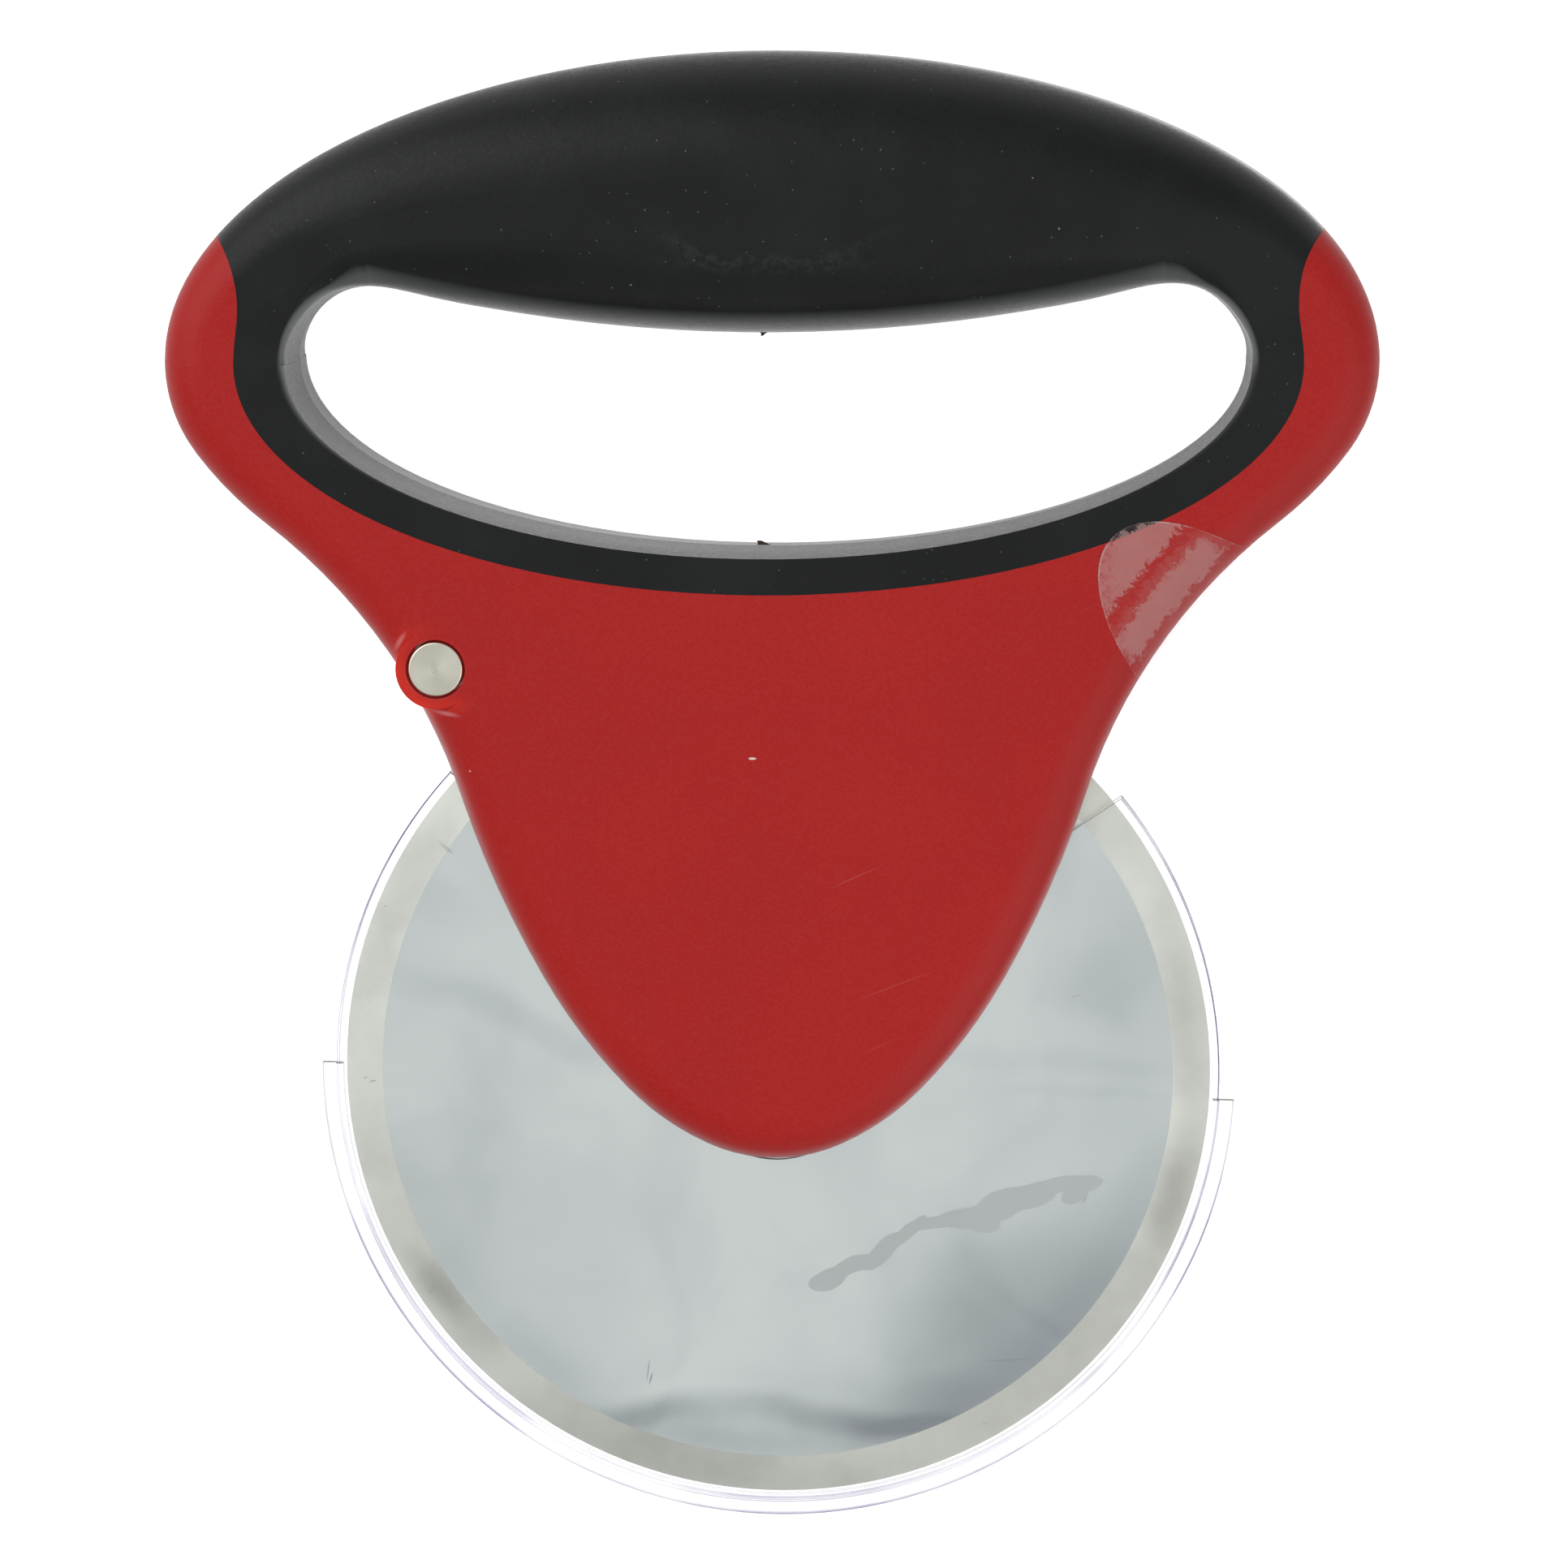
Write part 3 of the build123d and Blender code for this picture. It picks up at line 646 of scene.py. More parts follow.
@dataclass(frozen=True)
class BladeSteel(Finish):
    """Rolled blade steel: a wavy polished face and a ground edge band."""

    name: str = "blade_steel"
    face: Colour = srgb(228, 236, 232)
    deep: Colour = srgb(112, 122, 130)
    relief: Pair = (0.0000018, 0.5)
    # The ground band: its colours, start, uneven tone and what it adds to the roughness
    band: Colour = srgb(218, 222, 212)
    band_dark: Colour = srgb(166, 168, 159)
    band_start: Ramp = (0.0464, 0.0466)
    band_waves: Waves = (150.0, 4.0, 0.6)
    band_tone: Ramp = (0.35, 0.75, 0.0, 0.22)
    band_rough: float = 0.24
    # Painted reflections of the face: large waves that push its clouds about, a veil, wisps, least
    # and most
    push: Pair = (55.0, 0.0035)
    veil_waves: Waves = (34.0, 3.0, 0.5, 0.8)
    veil: Ramp = (0.38, 0.68, 0.0, 0.13)
    veil_rough: Ramp = (0.0, 0.16, 0.14, 0.22)
    wisp_waves: Waves = (17.0, 2.0, 0.4, 1.2)
    wisp: Ramp = (0.0, 0.05, 0.04, 0.0)
    least_shade: float = 0.06
    most_shade: float = 0.78
    light_depth: float = 0.8
    # Rolling marks, stretched along X
    rolled_stretch: Spot = (40.0, 900.0, 1.0)
    rolled: Waves = (1.0, 3.0, 0.6)
    # The lower face's painted reflection darkens towards the band
    near_band: Ramp = (0.040, 0.0462, 0.0, 0.13)
    near_low: Ramp = (-0.012, -0.002, 1.0, 0.0)
    # Painted reflections: dark clouds of the face
    painted_dark_reflections: Patches = (
        (28.5, -32.0, 40.0, 17.0, 8.0, 0.95, 0.42),
        (19.5, -27.0, 78.0, 8.0, 6.0, 0.9, 0.22),
        (-3.0, -41.6, -2.5, 23.0, 1.5, 0.9, 0.33),
        (-15.0, -42.6, -15.0, 10.0, 2.0, 0.9, 0.25),
        (8.0, -39.0, 0.0, 12.0, 3.0, 0.9, 0.12),
        (10.0, -43.6, 6.0, 22.0, 1.9, 0.9, 0.16),
        (40.0, 11.5, 80.0, 8.5, 6.5, 0.95, 0.22),
        (-31.0, -19.0, 20.0, 13.0, 10.0, 0.8, 0.13),
        (-36.0, -6.0, 80.0, 14.0, 5.0, 0.8, 0.1),
        (-31.0, 6.0, -24.0, 13.0, 2.0, 0.8, 0.13),
        (-39.5, 19.5, -30.0, 4.5, 2.0, 0.8, 0.12),
        (30.0, 1.5, -3.0, 17.0, 1.2, 0.8, 0.05),
        (36.0, -2.6, -4.0, 10.0, 0.8, 0.8, 0.04),
    )
    # Painted reflections: pale clouds of the face
    lights: Patches = (
        (-34.0, 15.0, -36.0, 9.0, 3.5, 0.7, 0.5),
        (30.0, 5.6, -12.0, 11.0, 2.8, 0.6, 0.6),
        (2.0, -33.0, 12.0, 18.0, 7.0, 0.8, 0.5),
        (8.0, -12.0, -5.0, 28.0, 6.0, 0.8, 0.3),
    )
    # A smear of a thin film: its colour, cover and roughness, and the waves that push its edge
    film: Colour = srgb(181, 187, 185)
    film_cover: float = 0.9
    film_rough: float = 0.2
    film_push: Pair = (200.0, 0.0006)
    smears: Patches = (
        (5.8, -25.0, 25.0, 2.3, 1.3, 0.08, 1.0),
        (8.8, -23.3, 22.0, 3.0, 0.95, 0.08, 1.0),
        (12.3, -21.6, 42.0, 3.2, 1.1, 0.08, 1.0),
        (15.4, -19.3, 42.0, 3.0, 0.75, 0.08, 1.0),
        (18.6, -18.1, 8.0, 3.6, 0.7, 0.08, 1.0),
        (22.6, -17.6, 2.0, 3.6, 1.3, 0.08, 1.0),
        (24.4, -18.2, -8.0, 2.0, 1.1, 0.08, 1.0),
        (26.2, -16.2, 28.0, 4.2, 1.75, 0.08, 1.0),
        (29.6, -14.9, 15.0, 3.2, 1.6, 0.08, 1.0),
        (33.0, -13.5, 12.0, 3.6, 0.9, 0.08, 1.0),
        (36.0, -13.3, 5.0, 2.6, 0.95, 0.08, 1.0),
        (35.0, -14.6, 25.0, 1.8, 0.95, 0.08, 1.0),
    )
    # Painted reflections of the ground band: darker places round it
    painted_band_reflections: Patches = (
        (-40.2, -26.2, -52.0, 3.6, 1.7, 0.9, 0.6),
        (-36.5, -30.5, -48.0, 6.0, 2.0, 0.9, 0.25),
        (46.7, -13.4, 75.0, 5.5, 2.0, 0.9, 0.55),
        (48.1, 6.0, 97.0, 12.0, 3.0, 0.9, 0.5),
        (-42.2, 24.3, 60.0, 6.0, 3.0, 0.9, 0.4),
        (37.0, -33.0, 45.0, 34.0, 9.0, 0.95, 0.62),
        (-12.0, -47.4, -12.0, 22.0, 5.0, 0.9, 0.45),
        (-46.5, 14.0, 70.0, 6.0, 2.4, 0.9, 0.35),
    )
    # Scratches and specks: how much they cover at most, and their depth in the relief
    scratch_cover: float = 0.6
    scratch_depth: float = 1.5
    scratches: Patches = (
        (-15.5, -36.2, 82.0, 1.1, 0.05, 0.5, 1.0),
        (-15.2, -37.2, 75.0, 0.6, 0.09, 0.5, 0.8),
        (27.6, -34.6, 4.0, 3.2, 0.03, 0.5, 0.7),
        (36.2, -15.2, 60.0, 0.4, 0.05, 0.5, 0.8),
        (-38.6, 26.4, -40.0, 0.9, 0.2, 0.6, 0.35),
        (35.0, 9.0, 20.0, 0.6, 0.03, 0.5, 0.5),
        (-48.6, -1.1, 20.0, 0.25, 0.07, 0.5, 0.5),
        (-47.7, -1.5, 15.0, 0.4, 0.08, 0.5, 0.6),
        (-45.9, 19.4, 0.0, 0.2, 0.08, 0.5, 0.4),
        (-41.3, -26.9, 30.0, 0.3, 0.07, 0.5, 0.4),
        (24.4, -42.4, -20.0, 0.35, 0.06, 0.5, 0.4),
    )

    def build(self) -> Material:
        """Return the material."""
        material, shader, principled = self.start()
        place, radius = shader.from_centre(HUB)
        band = shader.remap(radius, *self.band_start)
        # Painted reflections of the polished face
        veil, shade = self._shade(shader, place, radius)
        base = shader.mix(shade, self.face, self.deep)
        film = shader.patches(self._pushed(shader, place, *self.film_push), self.smears)
        film = shader.least(film, 1.0)
        base = shader.mix(shader.times(film, self.film_cover), base, self.film)
        ground = shader.remap(shader.noise(place, *self.band_waves), *self.band_tone)
        # Painted reflections of the ground band, with its uneven ground tone
        band_grind_and_reflection = shader.plus(shader.patches(place, self.painted_band_reflections), ground, clamp=True)
        tone = shader.mix(band, base, shader.mix(band_grind_and_reflection, self.band, self.band_dark))
        lines = shader.patches(place, self.scratches)
        tone = shader.mix(shader.least(lines, self.scratch_cover), tone, self.deep)
        rough = shader.blend(band, self.band_rough, shader.remap(veil, *self.veil_rough))
        rough = shader.blend(film, self.film_rough, rough)
        shader.fill(principled, Base_Color=tone, Metallic=1.0, Roughness=rough)
        stretched = shader.vector("MULTIPLY", place, self.rolled_stretch)
        rolled = shader.noise(stretched, *self.rolled)
        height = shader.minus(rolled, shader.times(lines, self.scratch_depth))
        shader.fill(principled, Normal=shader.bump(height, *self.relief))
        return material

    def _shade(self, shader: Shader, place: Socket, radius: Socket) -> Tuple[Socket, Socket]:
        """Return the painted shade of the polished face: its clouded reflections.

        Args:
            shader: The material's node helper.
            place: Coordinates from the hub's centre.
            radius: Distance from the hub's axis.

        Returns:
            The veil's socket, and the socket of the whole shade.
        """
        waved = self._pushed(shader, place, *self.push)
        dark = shader.patches(waved, self.painted_dark_reflections)
        pale = shader.patches(waved, self.lights)
        veil = shader.remap(shader.noise(waved, *self.veil_waves), *self.veil)
        # The wisps are long wavy lines of painted reflection where this noise passes its middle
        flow = shader.apart(shader.noise(waved, *self.wisp_waves), 0.5)
        wisp = shader.remap(flow, *self.wisp)
        _, y, _ = shader.axes(place)
        near = shader.remap(radius, *self.near_band)
        near = shader.times(near, shader.remap(y, *self.near_low))
        depth = shader.plus(shader.plus(shader.plus(dark, near), veil), wisp)
        depth = shader.least(depth, self.most_shade)
        kept = shader.minus(1.0, shader.times(pale, self.light_depth))
        return veil, shader.plus(shader.times(depth, kept), self.least_shade, clamp=True)

    @staticmethod
    def _pushed(shader: Shader, place: Socket, scale: float, reach: float) -> Socket:
        """Return coordinates that noise pushes sideways.

        Args:
            shader: The material's node helper.
            place: The coordinates' socket.
            scale: Waves per metre.
            reach: Largest push in metres.

        Returns:
            The pushed coordinates' socket.
        """
        noise = shader.noise(place, scale, 1.5, 0.5, output=1)
        centred = shader.vector("SUBTRACT", noise, (0.5, 0.5, 0.5))
        push = shader.vector("MULTIPLY", centred, (2.0 * reach,) * 3)
        return shader.vector("ADD", place, push)


@dataclass(frozen=True)
class ClearGuard(Finish):
    """Clear moulded sheet of the blade guard, its two shells welded on one plane."""

    name: str = "clear_guard"
    colour: Colour = (0.985, 0.985, 0.995)
    shadow: Colour = (0.985, 0.985, 0.99)
    ior: float = 1.45
    relief: Pair = (0.00004, 0.3)
    ripple: Waves = (90.0, 2.0, 0.5, 0.6)
    haze_waves: Waves = (30.0, 3.0, 0.6)
    haze: Ramp = (0.4, 0.7, 0.02, 0.05)
    # Height and half thickness of the plane where the shells meet and nothing shows
    weld: Pair = (0.0124, 0.000004)
    # Painted shade: the rim is tinted darker where it is seen steeply; by steepness, and by the
    # distance from the axis
    edge: Colour = (0.86, 0.86, 0.92)
    painted_rim_shade_steep: Ramp = (0.8, 0.95)
    edge_radius: Ramp = (0.0514, 0.0517)
    # Round edges that catch the light, the rim's and the lip's: radius and width inwards
    line: Colour = (0.30, 0.30, 0.41)
    edge_lines: Tuple[Pair, ...] = ((0.0519, 0.00018), (0.0537, 0.00022))
    line_core: float = 0.7
    line_waves: Waves = (60.0, 2.0, 0.5)
    line_broken: Ramp = (0.35, 0.6, 0.45, 1.0)
    line_level: Ramp = (0.15, 0.5)

    def build(self) -> Material:
        """Return the material."""
        material, shader, principled = self.start()
        place = shader.place()
        _, radius = shader.from_centre(HUB)
        steep = shader.remap(shader.facing(), *self.painted_rim_shade_steep)
        steep = shader.times(steep, shader.remap(radius, *self.edge_radius))
        # Painted shade where the rim is seen steeply
        tone = shader.mix(steep, self.colour, self.edge)
        tone = shader.mix(self._lines(shader, place, radius), tone, self.line)
        haze = shader.remap(shader.noise(place, *self.haze_waves), *self.haze)
        shader.fill(principled, Base_Color=tone, Transmission_Weight=1.0)
        shader.fill(principled, IOR=self.ior, Roughness=haze)
        ripple = shader.noise(place, *self.ripple)
        shader.fill(principled, Normal=shader.bump(ripple, *self.relief))
        clear = shader.add("ShaderNodeBsdfTransparent", self.shadow).outputs[0]
        shaded = shader.light_path()["Is Shadow Ray"]
        wall = shader.add("ShaderNodeMixShader", shaded, principled.outputs[0], clear).outputs[0]
        _, _, z = shader.axes(place)
        height, half = self.weld
        inside = shader.math("LESS_THAN", shader.apart(z, height), half)
        nothing = shader.add("ShaderNodeBsdfTransparent", WHITE).outputs[0]
        joint = shader.add("ShaderNodeMixShader", inside, wall, nothing)
        shader.put(joint.outputs[0], material.node_tree.nodes["Material Output"].inputs[0])
        return material

    def _lines(self, shader: Shader, place: Socket, radius: Socket) -> Socket:
        """Return the mask of the rim's and the lip's broken edge lines.

        Args:
            shader: The material's node helper.
            place: The object's coordinates.
            radius: Distance from the hub's axis.

        Returns:
            The mask's socket.
        """
        lines = 0.0
        for edge_radius, width in self.edge_lines:
            gap = shader.apart(radius, edge_radius)
            line = shader.remap(gap, self.line_core * width, width, 1.0, 0.0)
            lines = shader.most(lines, line)
        # Only on the flat and rounded faces, not on the upright ones
        normal = shader.add("ShaderNodeNewGeometry").outputs["Normal"]
        _, _, level = shader.axes(normal)
        lying = shader.remap(shader.math("ABSOLUTE", level), *self.line_level)
        broken = shader.remap(shader.noise(place, *self.line_waves), *self.line_broken)
        return shader.times(shader.times(lines, lying), broken)


@dataclass(frozen=True)
class GrainedPlastic(Finish):
    """Plain moulded plastic in two close tones."""

    name: str
    colour: Colour
    shade: Colour
    grain: Pair
    mottle: Ramp
    rough: float
    ior: float
    relief: Pair

    def build(self) -> Material:
        """Return the material."""
        material, shader, principled = self.start()
        grain, mottle = shader.grain(shader.place(), *self.grain)
        tone = shader.mix(shader.remap(mottle, *self.mottle), self.shade, self.colour)
        shader.fill(principled, Base_Color=tone, Roughness=self.rough, IOR=self.ior)
        shader.fill(principled, Normal=shader.bump(grain, *self.relief))
        return material


NYLON = GrainedPlastic(
    name="nylon",
    colour=srgb(226, 224, 214),
    shade=srgb(212, 209, 197),
    grain=(3000.0, 90.0),
    mottle=(0.35, 0.65),
    rough=0.4,
    ior=1.5,
    relief=(0.00002, 0.5),
)
TORN_NIB = GrainedPlastic(
    name="torn_nib",
    colour=srgb(84, 44, 36),
    shade=srgb(52, 38, 34),
    grain=(9000.0, 1500.0),
    mottle=(0.4, 0.65),
    rough=0.55,
    ior=1.4,
    relief=(0.00004, 0.8),
)


@dataclass(frozen=True)
class SpringWire(Finish):
    """Drawn spring wire."""

    name: str = "spring_wire"
    colour: Colour = srgb(190, 192, 194)
    shade: Colour = srgb(150, 152, 156)
    drawn: Waves = (2500.0, 3.0, 0.6)
    rough: Ramp = (0.3, 0.7, 0.22, 0.38)

    def build(self) -> Material:
        """Return the material."""
        material, shader, principled = self.start()
        drawn = shader.noise(shader.place(), *self.drawn)
        tone = shader.mix(drawn, self.shade, self.colour)
        rough = shader.remap(drawn, *self.rough)
        shader.fill(principled, Base_Color=tone, Metallic=1.0, Roughness=rough)
        return material


@dataclass(frozen=True)
class SealFilm(Finish):
    """Clear round closing seal, hazy where its glue holds and clear where it bridges."""

    name: str = "seal_film"
    haze: Colour = (0.68, 0.40, 0.38)
    # Colour of the painted highlight on the cut rim
    painted_rim_highlight: Colour = (0.72, 0.68, 0.66)
    rough: float = 0.35
    # The seal's flat shape, from the start of its fold: its middle, half sizes and turn
    middle: Pair = (0.01209, 0.00965)
    half_size: Pair = (0.01987, 0.01028)
    turn: float = -0.0942
    # Opacity of held and free film, of the rim's painted highlight, and of film seen steeply
    haze_alpha: float = 0.2
    clear_alpha: float = 0.012
    rim_alpha: float = 0.075
    steep_alpha: Ramp = (0.85, 0.99, 0.0, 0.08)
    # Where the glue starts and stops holding, across the fold from its start, and how much
    hold_soft: float = 0.00015
    hold_rows: Tuple[Spot, ...] = (
        (-0.0100, -0.0026, 1.0),
        (-0.0013, -0.0002, 0.22),
        (-0.0002, 0.0033, 1.0),
        (0.0033, 0.0075, 0.22),
    )
    # Ragged and wavy noise, and how far each pushes the glue's edges
    ragged: Waves = (1000.0, 6.0, 0.85, 0.6)
    ragged_push: float = 0.0062
    wavy: Waves = (160.0, 2.0, 0.5)
    wavy_push: float = 0.0014
    # The glue stays off the narrow ends of its second band: the band's middle and half length
    band_middle: float = 0.0100
    band_ends: Ramp = (0.0074, 0.0086, 1.0, 0.15)
    # And off the raised black skin: the border's slope and place, and its ramp
    skin_line: Pair = (-2.09, -0.02706)
    skin_side: Ramp = (-0.0002, 0.0001, 1.0, 0.0)
    # Pits in the glue, which fade out over the lower film, and its clouds
    pit_waves: Waves = (1300.0, 5.0, 0.8)
    pits: Ramp = (0.42, 0.50, 0.25, 1.0)
    pits_out: Ramp = (-0.003, 0.006)
    cloud_waves: Waves = (300.0, 3.0, 0.6)
    cloud: Ramp = (0.3, 0.7, 0.85, 1.05)
    # The cut rim's painted highlight, as a share of the half sizes, and how it breaks up
    rim_share: Ramp = (0.987, 0.994)
    rim_waves: Waves = (700.0, 2.0, 0.6)
    rim_broken: Ramp = (0.42, 0.6, 0.25, 1.0)
    mask_height: float = 0.5
    relief: Pair = (0.00003, 0.5)

    def build(self) -> Material:
        """Return the material."""
        material, shader, principled = self.start()
        flat = shader.place(Coverage.SURFACE)
        ragged = shader.minus(shader.noise(flat, *self.ragged), 0.5)
        mask = self._held(shader, flat, ragged)
        # Distance from the flat shape's edge
        centred = shader.vector("SUBTRACT", flat, (*self.middle, 0.0))
        turned = shader.unturn(centred, self.turn)
        reach = shader.length(shader.vector("DIVIDE", turned, (*self.half_size, 1.0)))
        broken = shader.remap(shader.noise(flat, *self.rim_waves), *self.rim_broken)
        # Painted highlight along the cut rim
        painted_rim_highlight = shader.times(shader.remap(reach, *self.rim_share), broken)
        steep = shader.remap(shader.facing(), *self.steep_alpha)
        alpha = shader.plus(shader.blend(mask, self.haze_alpha, self.clear_alpha), steep)
        alpha = shader.blend(painted_rim_highlight, self.rim_alpha, alpha, clamp=True)
        tone = shader.mix(painted_rim_highlight, self.haze, self.painted_rim_highlight)
        shader.fill(principled, Base_Color=tone, Roughness=self.rough, Alpha=alpha)
        height = shader.blend(mask, self.mask_height, ragged)
        shader.fill(principled, Normal=shader.bump(height, *self.relief))
        return material

    def _held(self, shader: Shader, flat: Socket, ragged: Socket) -> Socket:
        """Return where the glue holds the film.

        Args:
            shader: The material's node helper.
            flat: The flat coordinates' socket.
            ragged: The ragged noise, from -0.5 to 0.5.

        Returns:
            The mask's socket.
        """
        x, along, _ = shader.axes(flat)
        # The rear half mirrors the front half
        across = shader.minus(self.middle[0], shader.apart(x, self.middle[0]))
        wavy = shader.minus(shader.noise(flat, *self.wavy), 0.5)
        push = shader.blend(wavy, self.wavy_push, shader.times(ragged, self.ragged_push))
        across = shader.plus(across, push)
        mask = 0.0
        for start, stop, depth in self.hold_rows:
            soft = self.hold_soft
            rise = shader.remap(across, start - soft, start + soft)
            fall = shader.remap(across, stop - soft, stop + soft, depth, 0.0)
            mask = shader.most(mask, shader.times(rise, fall))
        ends = shader.plus(shader.apart(along, self.band_middle), push)
        mask = shader.times(mask, shader.remap(ends, *self.band_ends))
        slope, border = self.skin_line
        skin = shader.blend(across, slope, shader.plus(along, border))
        mask = shader.times(mask, shader.remap(skin, *self.skin_side))
        pits = shader.remap(shader.noise(flat, *self.pit_waves), *self.pits)
        lower = shader.remap(shader.plus(along, across), *self.pits_out)
        mask = shader.times(mask, shader.most(pits, lower))
        return shader.times(mask, shader.remap(shader.noise(flat, *self.cloud_waves), *self.cloud))


@dataclass(frozen=True)
class Dressing:
    """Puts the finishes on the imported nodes."""

    reds: Tuple[str, ...] = ("front_frame", "rear_frame", "rear_cover")
    skins: Tuple[str, ...] = ("grip_overmold",)
    turned: Tuple[str, ...] = (
        "release_button", "pivot_sleeve", "pivot_washer", "pivot_screw", "lock_pin"
    )
    axles: Tuple[str, ...] = ("wheel_axle",)
    blades: Tuple[str, ...] = ("cutting_wheel",)
    hubs: Tuple[str, ...] = ("wheel_hub_front", "wheel_hub_rear")
    guards: Tuple[str, ...] = ("guard_front_shell", "guard_rear_shell")
    springs: Tuple[str, ...] = ("button_spring",)

    def dress(self) -> None:
        """Give every node its finish."""
        pairs = (
            (self.reds, RedShell()),
            (self.skins, SoftGrip()),
            (self.turned, TurnedSteel(PIVOT)),
            (self.axles, TurnedSteel(HUB, name="turned_axle")),
            (self.blades, BladeSteel()),
            (self.hubs, NYLON),
            (self.guards, ClearGuard()),
            (self.springs, SpringWire()),
        )
        for names, finish in pairs:
            material = finish.build()
            for name in names:
                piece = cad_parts[name]
                piece.data.materials.clear()
                piece.data.materials.append(material)
                LOG.info("dressed %s with %s", name, finish.name)


@dataclass(frozen=True)
class ClosingSeal:
    """Clear seal folded round the shield's right edge, in a front and a rear half."""

    # A point of the fold's line beside the shield, the line's direction and the way out
    corner: Pair = (0.04218, 0.01429)
    along: Pair = (0.63340, 0.77382)
    outward: Pair = (0.77382, -0.63340)
    front_height: float = 0.02133
    rear_height: float = 0.00347
    roll_radius: float = 0.00505
    # How far the film stands off the shield's wall at its ends and in its middle
    wall_ends_off: float = 0.00045
    wall_middle_off: float = -0.00005
    thickness: float = 0.00005
    # Heights where the front and the rear half end, beside the cover's parting line
    front_stop: float = 0.01062
    rear_stop: float = 0.01018
    sides: int = 144
    row: float = 0.0005
    smooth_angle: float = 40.0
    finish: SealFilm = SealFilm()

    def build(self) -> None:
        """Build both halves."""
        material = self.finish.build()
        fold = self.roll_radius * math.pi / 2.0 + (self.front_height - self.roll_radius)
        self._half("seal_front", "handle", fold - self.front_stop, True, material)
        self._half("seal_rear", "cover", fold - self.rear_stop, False, material)

    def _half(self, name: str, body: str, cut: float, front: bool, material: Material) -> None:
        """Build one half of the seal.

        Args:
            name: The piece's name.
            body: The body that carries it.
            cut: Where the halves part, from the start of the front roll.
            front: Whether this is the front half.
            material: The film's material.
        """
        middle, reach = self.finish.middle, self.finish.half_size
        across, level = (1.0, 0.0, 0.0), (0.0, 1.0, 0.0)
        bpy.ops.object.select_all(action="DESELECT")
        bpy.ops.mesh.primitive_circle_add(
            vertices=self.sides, radius=1.0, fill_type="NGON", location=(0.0, 0.0, 0.0)
        )
        piece = bpy.context.active_object
        piece.name = name
        bpy.ops.object.mode_set(mode="EDIT")
        bpy.ops.mesh.select_all(action="SELECT")
        bpy.ops.transform.resize(value=(*reach, 1.0))
        # With no window this operator turns the other way
        bpy.ops.transform.rotate(
            value=-self.finish.turn, orient_axis="Z", center_override=(0.0, 0.0, 0.0)
        )
        bpy.ops.transform.translate(value=(*middle, 0.0))
        self._cut((cut, 0.0, 0.0), across, clear_outer=front, clear_inner=not front)
        start = 0.0 if front else cut
        stop = cut if front else middle[0] + reach[0]
        for index in range(1, int((stop - start) / self.row)):
            self._cut((start + index * self.row, 0.0, 0.0), across)
        for index in range(1, int(2.0 * reach[1] / (2.0 * self.row))):
            self._cut((0.0, middle[1] - reach[1] + 2.0 * index * self.row, 0.0), level)
        if front:
            self._cut((0.0, 0.0, 0.0), across)
        bpy.ops.object.mode_set(mode="OBJECT")
        self._keep_flat(piece)
        for vertex in piece.data.vertices:
            vertex.co = self._place(vertex.co.x, vertex.co.y)
        piece.data.update()
        wall = piece.modifiers.new("film", "SOLIDIFY")
        wall.thickness = self.thickness
        wall.offset = 1.0
        bpy.ops.object.modifier_apply(modifier=wall.name)
        bpy.ops.object.shade_smooth_by_angle(angle=math.radians(self.smooth_angle))
        piece.data.materials.append(material)
        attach(piece, body)
        LOG.info("built %s with %s faces", name, len(piece.data.polygons))

    @staticmethod
    def _cut(
        point: Spot, normal: Spot, clear_outer: bool = False, clear_inner: bool = False
    ) -> None:
        """Cut the piece being edited along one plane.

        Args:
            point: A point of the plane.
            normal: The plane's normal.
            clear_outer: Whether the side of the normal goes.
            clear_inner: Whether the other side goes.
        """
        bpy.ops.mesh.select_all(action="SELECT")
        bpy.ops.mesh.bisect(
            plane_co=point, plane_no=normal, clear_outer=clear_outer, clear_inner=clear_inner
        )

    @staticmethod
    def _keep_flat(piece: bpy.types.Object) -> None:
        """Keep the flat shape as the piece's UV map."""
        while piece.data.uv_layers:
            piece.data.uv_layers.remove(piece.data.uv_layers[0])
        layer = piece.data.uv_layers.new(name="flat")
        for loop in piece.data.loops:
            place = piece.data.vertices[loop.vertex_index].co
            layer.data[loop.index].uv = (place.x, place.y)

    def _place(self, across: float, along: float) -> Vector:
        """Return where a point of the flat seal lies round the edge.

        Args:
            across: Distance from the start of the front roll.
            along: Distance along the fold's line.

        Returns:
            The place.
        """
        radius = self.roll_radius
        quarter = radius * math.pi / 2.0
        wall = self.front_height - self.rear_height - 2.0 * radius
        if across <= 0.0:
            out, height = across, self.front_height
        elif across <= quarter:
            out = radius * math.sin(across / radius)
            height = self.front_height - radius * (1.0 - math.cos(across / radius))
        elif across <= quarter + wall:
            out, height = radius, self.front_height - radius - (across - quarter)
        elif across <= 2.0 * quarter + wall:
            left = across - quarter - wall
            out = radius * math.cos(left / radius)
            height = self.rear_height + radius * (1.0 - math.sin(left / radius))
        else:
            out, height = -(across - 2.0 * quarter - wall), self.rear_height
        share = (along - self.finish.middle[1]) / self.finish.half_size[1]
        off = self.wall_middle_off + (self.wall_ends_off - self.wall_middle_off) * share * share
        out += off - radius
        place_x = self.corner[0] + self.along[0] * along + self.outward[0] * out
        place_y = self.corner[1] + self.along[1] * along + self.outward[1] * out
        return Vector((place_x, place_y, height))


@dataclass(frozen=True)
class Nib:
    """Sizes of one moulding nib."""

    name: str
    foot: Spot
    # Size of the foot along X and Z, height of the tip, how far it leans along X, and
    # whether it stands up (1) or hangs (-1)
    size: Pair
    height: float
    lean: float
    way: float


